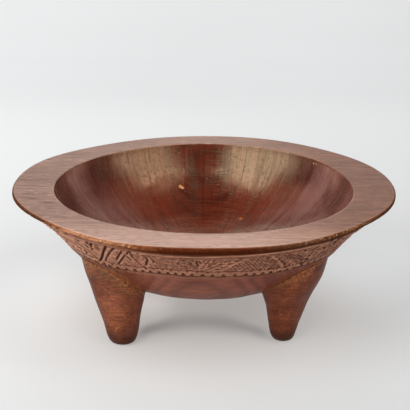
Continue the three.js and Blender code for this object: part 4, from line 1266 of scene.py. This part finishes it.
def make_leg(name, table, side, back, tenon_degrees, seed):
    net = Net()
    n = LEG_COLUMNS
    alpha = 2 * np.pi * np.arange(n) / n

    def section(z):
        return through(table[:, 0], table[:, 1:], np.asarray(z, float))

    def place(al, z):
        """The leg's side at angle al of its section and height z; both arrays."""
        c, deg, across, deep = np.moveaxis(section(z), -1, 0)
        b = np.radians(deg)
        ox, oy = side * np.sin(b), back * np.cos(b)
        # hand work: long flats and shallow hollows left by the blade, and a rounded shoulder outside the head
        blade = 0.16 * ripple(seed, al, z, 24, 34.0, 36) + 0.035 * ripple(seed + 50, al, z, 24, 10.0, 40)
        blade = blade * step(4, 14, z)
        shoulder = (5.6 if side > 0 else 3.0) * np.clip((z - 83) / 9, 0, 1.3) ** 2 * np.clip(np.cos(al), 0, 1)
        # the left legs are flatter where they face front or back, so their seams run lower there
        facing = al - side * back * b
        flat = (4.5 if side < 0 else 0.0) * step(34, 62, z) * np.clip(np.cos(facing), 0, 1) ** 2
        radial = c + (deep + blade - flat) * np.cos(al) - shoulder
        sideways = (across + blade - flat) * np.sin(al)
        return np.stack([radial * ox - sideways * oy, radial * oy + sideways * ox, z], -1)

    # where each line up the side meets the bowl
    z = np.linspace(30, 96, 400)
    grid = place(alpha[None, :], np.broadcast_to(z[:, None], (len(z), n)))
    above = grid[..., 2] - (outside_height(grid[..., 0], grid[..., 1]) - JOINT_GAP)
    hit = np.argmax(above > 0, axis=0)
    hit = np.clip(hit, 1, len(z) - 1)
    lo, hi = above[hit - 1, np.arange(n)], above[hit, np.arange(n)]
    cut = z[hit - 1] + (z[hit] - z[hit - 1]) * (-lo / (hi - lo))

    # rows: the rounded foot, then even steps up to the cut
    foot = [0.0, 0.35, 0.8, 1.4, 2.2, 3.2, 4.6, 6.5]
    body = np.linspace(0, 1, 52)[1:]
    rows = []
    for h in foot:
        rows.append(place(alpha, np.full(n, h)))
    for u in body[:-1]:
        rows.append(place(alpha, foot[-1] + (cut - 3.0 - foot[-1]) * u))
    # the bead of old varnish and glue at the joint
    bead = np.clip(0.55 + 0.75 * ripple(seed + 90, alpha, 0.0, 26, 8.0, 40), 0.05, 2.0)
    c, deg, across, deep = np.moveaxis(section(cut), -1, 0)
    b = np.radians(deg)
    ox, oy = side * np.sin(b), back * np.cos(b)
    nx, ny = np.cos(alpha) / deep, np.sin(alpha) / across
    ln = np.hypot(nx, ny)
    nx, ny = nx / ln, ny / ln
    outward = np.stack([nx * ox - ny * oy, nx * oy + ny * ox], -1)
    for down, out in ((3.0, 0.0), (2.2, 0.06), (1.6, 0.18), (1.0, 0.3), (0.5, 0.36)):
        p = place(alpha, cut - down)
        p[:, :2] += outward * (out * bead)[:, None]
        p[:, 2] = np.minimum(p[:, 2], outside_height(p[:, 0], p[:, 1]) - 0.12)
        rows.append(p)
    p = place(alpha, cut)
    p[:, :2] += outward * (0.4 * bead)[:, None]
    p[:, 2] = outside_height(p[:, 0], p[:, 1]) - 0.06
    rows.append(p)
    side_rows = len(rows)
    edge = place(alpha, cut)
    edge[:, 2] = outside_height(edge[:, 0], edge[:, 1]) - JOINT_GAP
    # the coped head, a skin under the bowl, in to the socket
    tb = math.radians(tenon_degrees)
    tx, ty = TENON_CENTRE * side * math.sin(tb), TENON_CENTRE * back * math.cos(tb)
    way = np.unwrap(np.arctan2(edge[:, 1] - ty, edge[:, 0] - tx))
    radius = TENON_RADIUS + TENON_CLEARANCE
    hole = np.stack([tx + radius * np.cos(way), ty + radius * np.sin(way)], -1)
    for w in (0.0, 0.2, 0.4, 0.6, 0.8, 1.0):
        xy = edge[:, :2] * (1 - w) + hole * w
        rows.append(np.column_stack([xy, outside_height(xy[:, 0], xy[:, 1]) - JOINT_GAP]))
    bottom = TENON_MOUTH - TENON_IN_LEG
    top_z = rows[-1][:, 2]
    for w in (0.33, 0.66, 1.0):
        rows.append(np.column_stack([hole, top_z * (1 - w) + bottom * w]))

    heights = [float(r[:, 2].mean()) for r in rows]
    first = []
    worn_field = ripple(seed + 7, alpha, 0.0, 24, 20.0, 20)
    for i, r in enumerate(rows):
        zz = r[:, 2]
        foot_line = np.exp(-(((zz - 8.2 - 0.7 * np.sin(alpha * 2)) / 0.8) ** 2)) * (0.6 + 0.4 * worn_field)
        dark = 0.8 * (1 - step(0.4, 5.0, zz)) + 0.35 * (1 - step(4, 18, zz)) + 0.6 * foot_line
        gap = cut - zz
        crumbs = np.clip(0.6 + 0.5 * ripple(seed + 17, alpha, zz, 26, 4.0, 50), 0, 1)
        reach = np.clip((11.0 if side < 0 else 8.0) + 5.0 * ripple(seed + 18, alpha, 0.0, 30, 16.0, 30), 2.0, 20)
        amber = np.clip(1.25 * np.clip(1 - gap / reach, 0, 1) ** 0.8 * crumbs, 0, 1)
        dark = dark + 0.7 * np.exp(-((gap / 0.9) ** 2)) + 0.25 * np.exp(-((gap / 6.0) ** 2)) * (1 - amber)
        # painted shade: the corners between the front and the sides are darker
        facing = (np.arctan2(r[:, 1] - r[:, 1].mean(), r[:, 0] - r[:, 0].mean()) - back * math.pi / 2 + math.pi) % (2 * math.pi) - math.pi
        dark = dark + (0.25 if side < 0 else 0.12) * np.exp(-(((np.abs(facing) - 1.35) / 0.45) ** 2)) * (1 - amber)
        # painted highlight with some rubbing: the middle of the side that faces front, or back, is lighter orange, more
        # on the left legs
        turned_to = np.arctan2(r[:, 1] - r[:, 1].mean(), r[:, 0] - r[:, 0].mean())
        off = (turned_to - back * (math.pi / 2 + 0.2) + math.pi) % (2 * math.pi) - math.pi
        wear_and_highlight = np.exp(-((off / 0.55) ** 2)) * step(6, 20, zz) * (0.8 + 0.25 * ripple(seed + 27, alpha, zz, 26, 20.0, 30))
        wear_and_highlight = np.clip(wear_and_highlight, 0, 1) * (1.0 if side < 0 else 0.45)
        # grey-green stain on the left legs' outer shoulder
        stain = (np.exp(-((gap - 7) / 8.0) ** 2) * np.clip(np.cos(alpha), 0, 1) ** 0.5 * (1.0 if side < 0 else 0.35)
                 * np.clip(0.7 + 0.4 * ripple(seed + 28, alpha, zz, 26, 12.0, 30), 0, 1))
        if i >= side_rows:
            dark, amber, wear_and_highlight, stain = np.zeros(n), np.zeros(n), np.zeros(n), np.zeros(n)
        first.append(net.add(r, np.stack([np.clip(dark, 0, 1), amber, wear_and_highlight, np.clip(stain, 0, 1)], -1)))
    j = np.arange(n)
    k = (j + 1) % n
    count = len(rows)
    for i in range(count - 1):
        corners = np.stack([first[i] + j, first[i] + k, first[i + 1] + k, first[i + 1] + j], -1)
        if i < side_rows - 1:
            v0, v1 = 0.02 + 0.66 * i / (side_rows - 1), 0.02 + 0.66 * (i + 1) / (side_rows - 1)
            u0, u1 = 0.01 + 0.98 * j / n, 0.01 + 0.98 * (j + 1) / n
            uv = np.stack([np.stack([u0, np.full(n, v0)], -1), np.stack([u1, np.full(n, v0)], -1),
                           np.stack([u1, np.full(n, v1)], -1), np.stack([u0, np.full(n, v1)], -1)], 1)
        else:
            ra = 0.145 * (1 - (i - side_rows + 1) / (count - side_rows + 1))
            rb = 0.145 * (1 - (i - side_rows + 2) / (count - side_rows + 1))
            a0, a1 = 2 * np.pi * j / n, 2 * np.pi * (j + 1) / n
            uv = np.stack([np.stack([ra * np.cos(a0), ra * np.sin(a0)], -1), np.stack([ra * np.cos(a1), ra * np.sin(a1)], -1),
                           np.stack([rb * np.cos(a1), rb * np.sin(a1)], -1), np.stack([rb * np.cos(a0), rb * np.sin(a0)], -1)], 1) + np.array([0.16, 0.84])
        slot = 0 if i < side_rows else 1
        net.face(corners, slot, uv)
    # sole and socket bottom
    for which, at, slot, uvc, flip in ((0, [rows[0][:, 0].mean(), rows[0][:, 1].mean(), 0.0], 0, (0.5, 0.84), True),
                                       (count - 1, [tx, ty, bottom], 1, (0.8, 0.84), False)):
        centre = net.add([at], np.array([[0.8, 0, 0, 1]]) if which == 0 else None)
        corners = np.stack([first[which] + j, first[which] + k, np.full(n, centre)], -1)
        a0, a1 = 2 * np.pi * j / n, 2 * np.pi * (j + 1) / n
        uv = np.stack([0.1 * np.stack([np.cos(a0), np.sin(a0)], -1), 0.1 * np.stack([np.cos(a1), np.sin(a1)], -1), np.zeros((n, 2))], 1) + np.array(uvc)
        if flip:
            corners, uv = corners[:, ::-1], uv[:, ::-1]
        net.face(corners, slot, uv)
    return net.build("leg_" + name + "_carved", [leg_material, bowl_materials[SOCKET]])


# ---------------------------------------------------------------------------------------------------------------
# Assembly
# ---------------------------------------------------------------------------------------------------------------
bowl = make_bowl()
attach(bowl, "root")
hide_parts("bowl_body")
for name, table, side, back, degrees, seed in LEGS:
    leg = make_leg(name, table, side, back, degrees, seed)
    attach(leg, "root")
    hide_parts("leg_" + name)
    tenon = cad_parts["tenon_" + name]
    tenon.data.materials.clear()
    tenon.data.materials.append(tenon_material)

# ---------------------------------------------------------------------------------------------------------------
# Studio
# ---------------------------------------------------------------------------------------------------------------
def sweep():
    """A floor that curves up into a backdrop behind the bowl."""
    near, bend, radius, top, half = -3.0, 1.5, 0.9, 3.0, 4.5
    section = [(near, 0.0), (-1.0, 0.0), (0.5, 0.0), (bend, 0.0)]
    for i in range(1, 17):
        a = math.pi / 2 * i / 16
        section.append((bend + radius * math.sin(a), radius * (1 - math.cos(a))))
    section.append((bend + radius, top))
    verts, faces = [], []
    for y, z in section:
        wide = half if z == 0 else 1.1  # the backdrop is narrower than the table
        verts += [(-wide, y, z), (wide, y, z)]
    for i in range(len(section) - 1):
        faces.append((2 * i, 2 * i + 1, 2 * i + 3, 2 * i + 2))
    me = bpy.data.meshes.new("sweep")
    me.from_pydata(verts, [], faces)
    me.polygons.foreach_set("use_smooth", [True] * len(faces))
    ob = bpy.data.objects.new("sweep", me)
    scene.collection.objects.link(ob)
    # pale paper that glows faintly, with painted light that makes it a little brighter at the back and on the left
    m = Mat("paper")
    x, y, z = m.split(m.here)
    across = m.math("DIVIDE", x, m.add(m.math("MAXIMUM", y, -0.5), 1.2))
    glow = m.add(0.28, m.range(y, 0.0, 0.9, 0.0, 0.118), m.range(y, -0.15, -0.24, 0.0, -0.04), m.range(y, 1.1, 1.45, 0.0, 0.028), m.range(y, 1.55, 1.8, 0.0, -0.03), m.mul(m.range(across, -0.05, 0.15, 0.0, 0.03), m.range(y, 0.6, 1.1)), m.range(across, -0.2, 0.2, 0.06, -0.04, False))

    def pool(cx, cy, rx, ry, amount):
        """A soft pool of light (or of shade, below zero) on the paper"""
        far = m.vec("LENGTH", m.join(m.mul(m.sub(x, cx), 1 / rx), m.mul(m.sub(y, cy), 1 / ry), 0.0))
        return m.range(far, 0.0, 2.0, amount, 0.0)

    glow = m.add(glow, pool(-0.150, 0.015, 0.075, 0.085, 0.13), pool(0.180, 0.110, 0.085, 0.090, 0.12))
    glow = m.add(glow, pool(-0.055, -0.008, 0.018, 0.026, 0.10), pool(0.10, -0.11, 0.06, 0.06, 0.03), pool(0.0, -0.17, 0.08, 0.05, 0.02))
    # the contact shadow that runs in an arc from foot to foot
    off = m.math("ABSOLUTE", m.add(y, 0.0508, m.mul(x, x, 6.0)))
    wide = m.range(m.math("ABSOLUTE", x), 0.02, 0.055, 0.034, 0.022)
    arc = m.mul(m.range(m.math("DIVIDE", off, wide), 0.0, 1.0, 1.0, 0.0), m.range(m.math("ABSOLUTE", x), 0.074, 0.058))
    glow = m.add(glow, m.mul(arc, m.range(x, -0.055, -0.015, -0.16, -0.11)))
    # the wood throws a little warm light on the paper under it
    under = m.range(m.vec("LENGTH", m.join(x, m.mul(m.add(y, 0.06), 1.3), 0.0)), 0.10, 0.26, 1.0, 0.0)
    m.set(Base_Color=(0.33, 0.333, 0.338, 1), Roughness=0.9, Specular_IOR_Level=0.05,
          Emission_Color=m.mix(under, (1.0, 1.0, 1.0, 1), (1.0, 0.93, 0.88, 1)), Emission_Strength=m.sub(glow, m.mul(under, 0.02)))
    me.materials.append(m.m)


sweep()


def area_light(name, size, radiance, colour, mirrored=True, spread=180):
    light = bpy.data.lights.new(name, "AREA")
    light.spread = math.radians(spread)
    light.shape, light.size, light.size_y = "RECTANGLE", size[0], size[1]
    light.energy = radiance * math.pi * size[0] * size[1]
    light.color = colour
    ob = bpy.data.objects.new(name, light)
    ob.visible_camera = False
    ob.visible_glossy = mirrored
    scene.collection.objects.link(ob)
    return ob


def panel(name, first, last, low, high, radiance, colour, distance=1.9, mirrored=True, spread=180):
    """An upright softbox round the bowl from one bearing to another (0 is front, + is right), between two heights."""
    ob = area_light(name, (2 * distance * math.tan(math.radians(abs(last - first) / 2)), high - low), radiance, colour, mirrored, spread)
    b = math.radians((first + last) / 2)
    ob.location = (distance * math.sin(b), -distance * math.cos(b), (low + high) / 2)
    ob.rotation_euler = (math.pi / 2, 0, b)


def leaning(name, first, last, low, high, radiance, colour, distance=2.6):
    """A softbox that leans over the bowl between two bearings and two elevations in degrees."""
    e = math.radians((low + high) / 2)
    flat = distance * math.cos(e)
    size = (2 * flat * math.tan(math.radians(abs(last - first) / 2)), 2 * distance * math.tan(math.radians((high - low) / 2)))
    ob = area_light(name, size, radiance, colour)
    b = math.radians((first + last) / 2)
    ob.location = (flat * math.sin(b), -flat * math.cos(b), 0.1 + distance * math.sin(e))
    ob.rotation_euler = (math.pi / 2 - e, 0, b)


COOL, WARM = (1.0, 0.985, 0.95), (1.0, 0.965, 0.90)
panel("left_low", -16, -84, 0.02, 0.6, 2.6, COOL)
panel("left_middle", -16, -84, 0.6, 2.36, 3.1, (1.0, 0.97, 0.915))
leaning("left_high", -20, -92, 50, 72, 3.5, COOL)
panel("right_low", 37, 86, 0.02, 0.6, 2.15, WARM)
panel("right_middle", 37, 86, 0.6, 2.36, 2.3, WARM)
leaning("right_high", 38, 94, 50, 63, 3.0, WARM)
# white flats near the floor all round, which only fill the shadows
panel("fill_back", 125, 235, 0.2, 0.8, 0.9, COOL, 1.3, False, 90)
panel("fill_front", -45, 45, 0.02, 0.5, 1.9, COOL, 1.5, False)
panel("fill_left", -125, -45, 0.02, 0.5, 1.8, COOL, 1.5, False)
panel("fill_right", 45, 125, 0.02, 0.5, 0.7, COOL, 1.5, False)

world = bpy.data.worlds.new("studio")
scene.world = world
world.use_nodes = True
world.node_tree.nodes["Background"].inputs[0].default_value = (0.9, 0.95, 1.0, 1)
world.node_tree.nodes["Background"].inputs[1].default_value = 0.6
world.cycles_visibility.glossy = False

# ---------------------------------------------------------------------------------------------------------------
# Camera: fitted to the rim's ellipses and the feet
# ---------------------------------------------------------------------------------------------------------------
from mathutils import Matrix, Vector

eye = np.array([0.0, -958.47, 442.18]) + SHIFT
forward = np.array([0.00033123, 0.94669342, -0.32213577])
right = np.array([0.99989816, 0.00428246, 0.01361342])
up = np.array([-0.01426727, 0.32210747, 0.9465956])
cam_data = bpy.data.cameras.new("camera")
cam_data.lens, cam_data.sensor_width, cam_data.sensor_fit = 82.06, 36.0, "HORIZONTAL"
cam_data.clip_start, cam_data.clip_end = 0.05, 50
cam = bpy.data.objects.new("camera", cam_data)
m = Matrix.Identity(4)
for i, axis in enumerate((right, up, -forward)):
    for k in range(3):
        m[k][i] = axis[k]
m.translation = Vector(eye / 1000)
cam.matrix_world = m
scene.collection.objects.link(cam)
scene.camera = cam

scene.view_settings.view_transform = "Standard"
scene.view_settings.look = "None"
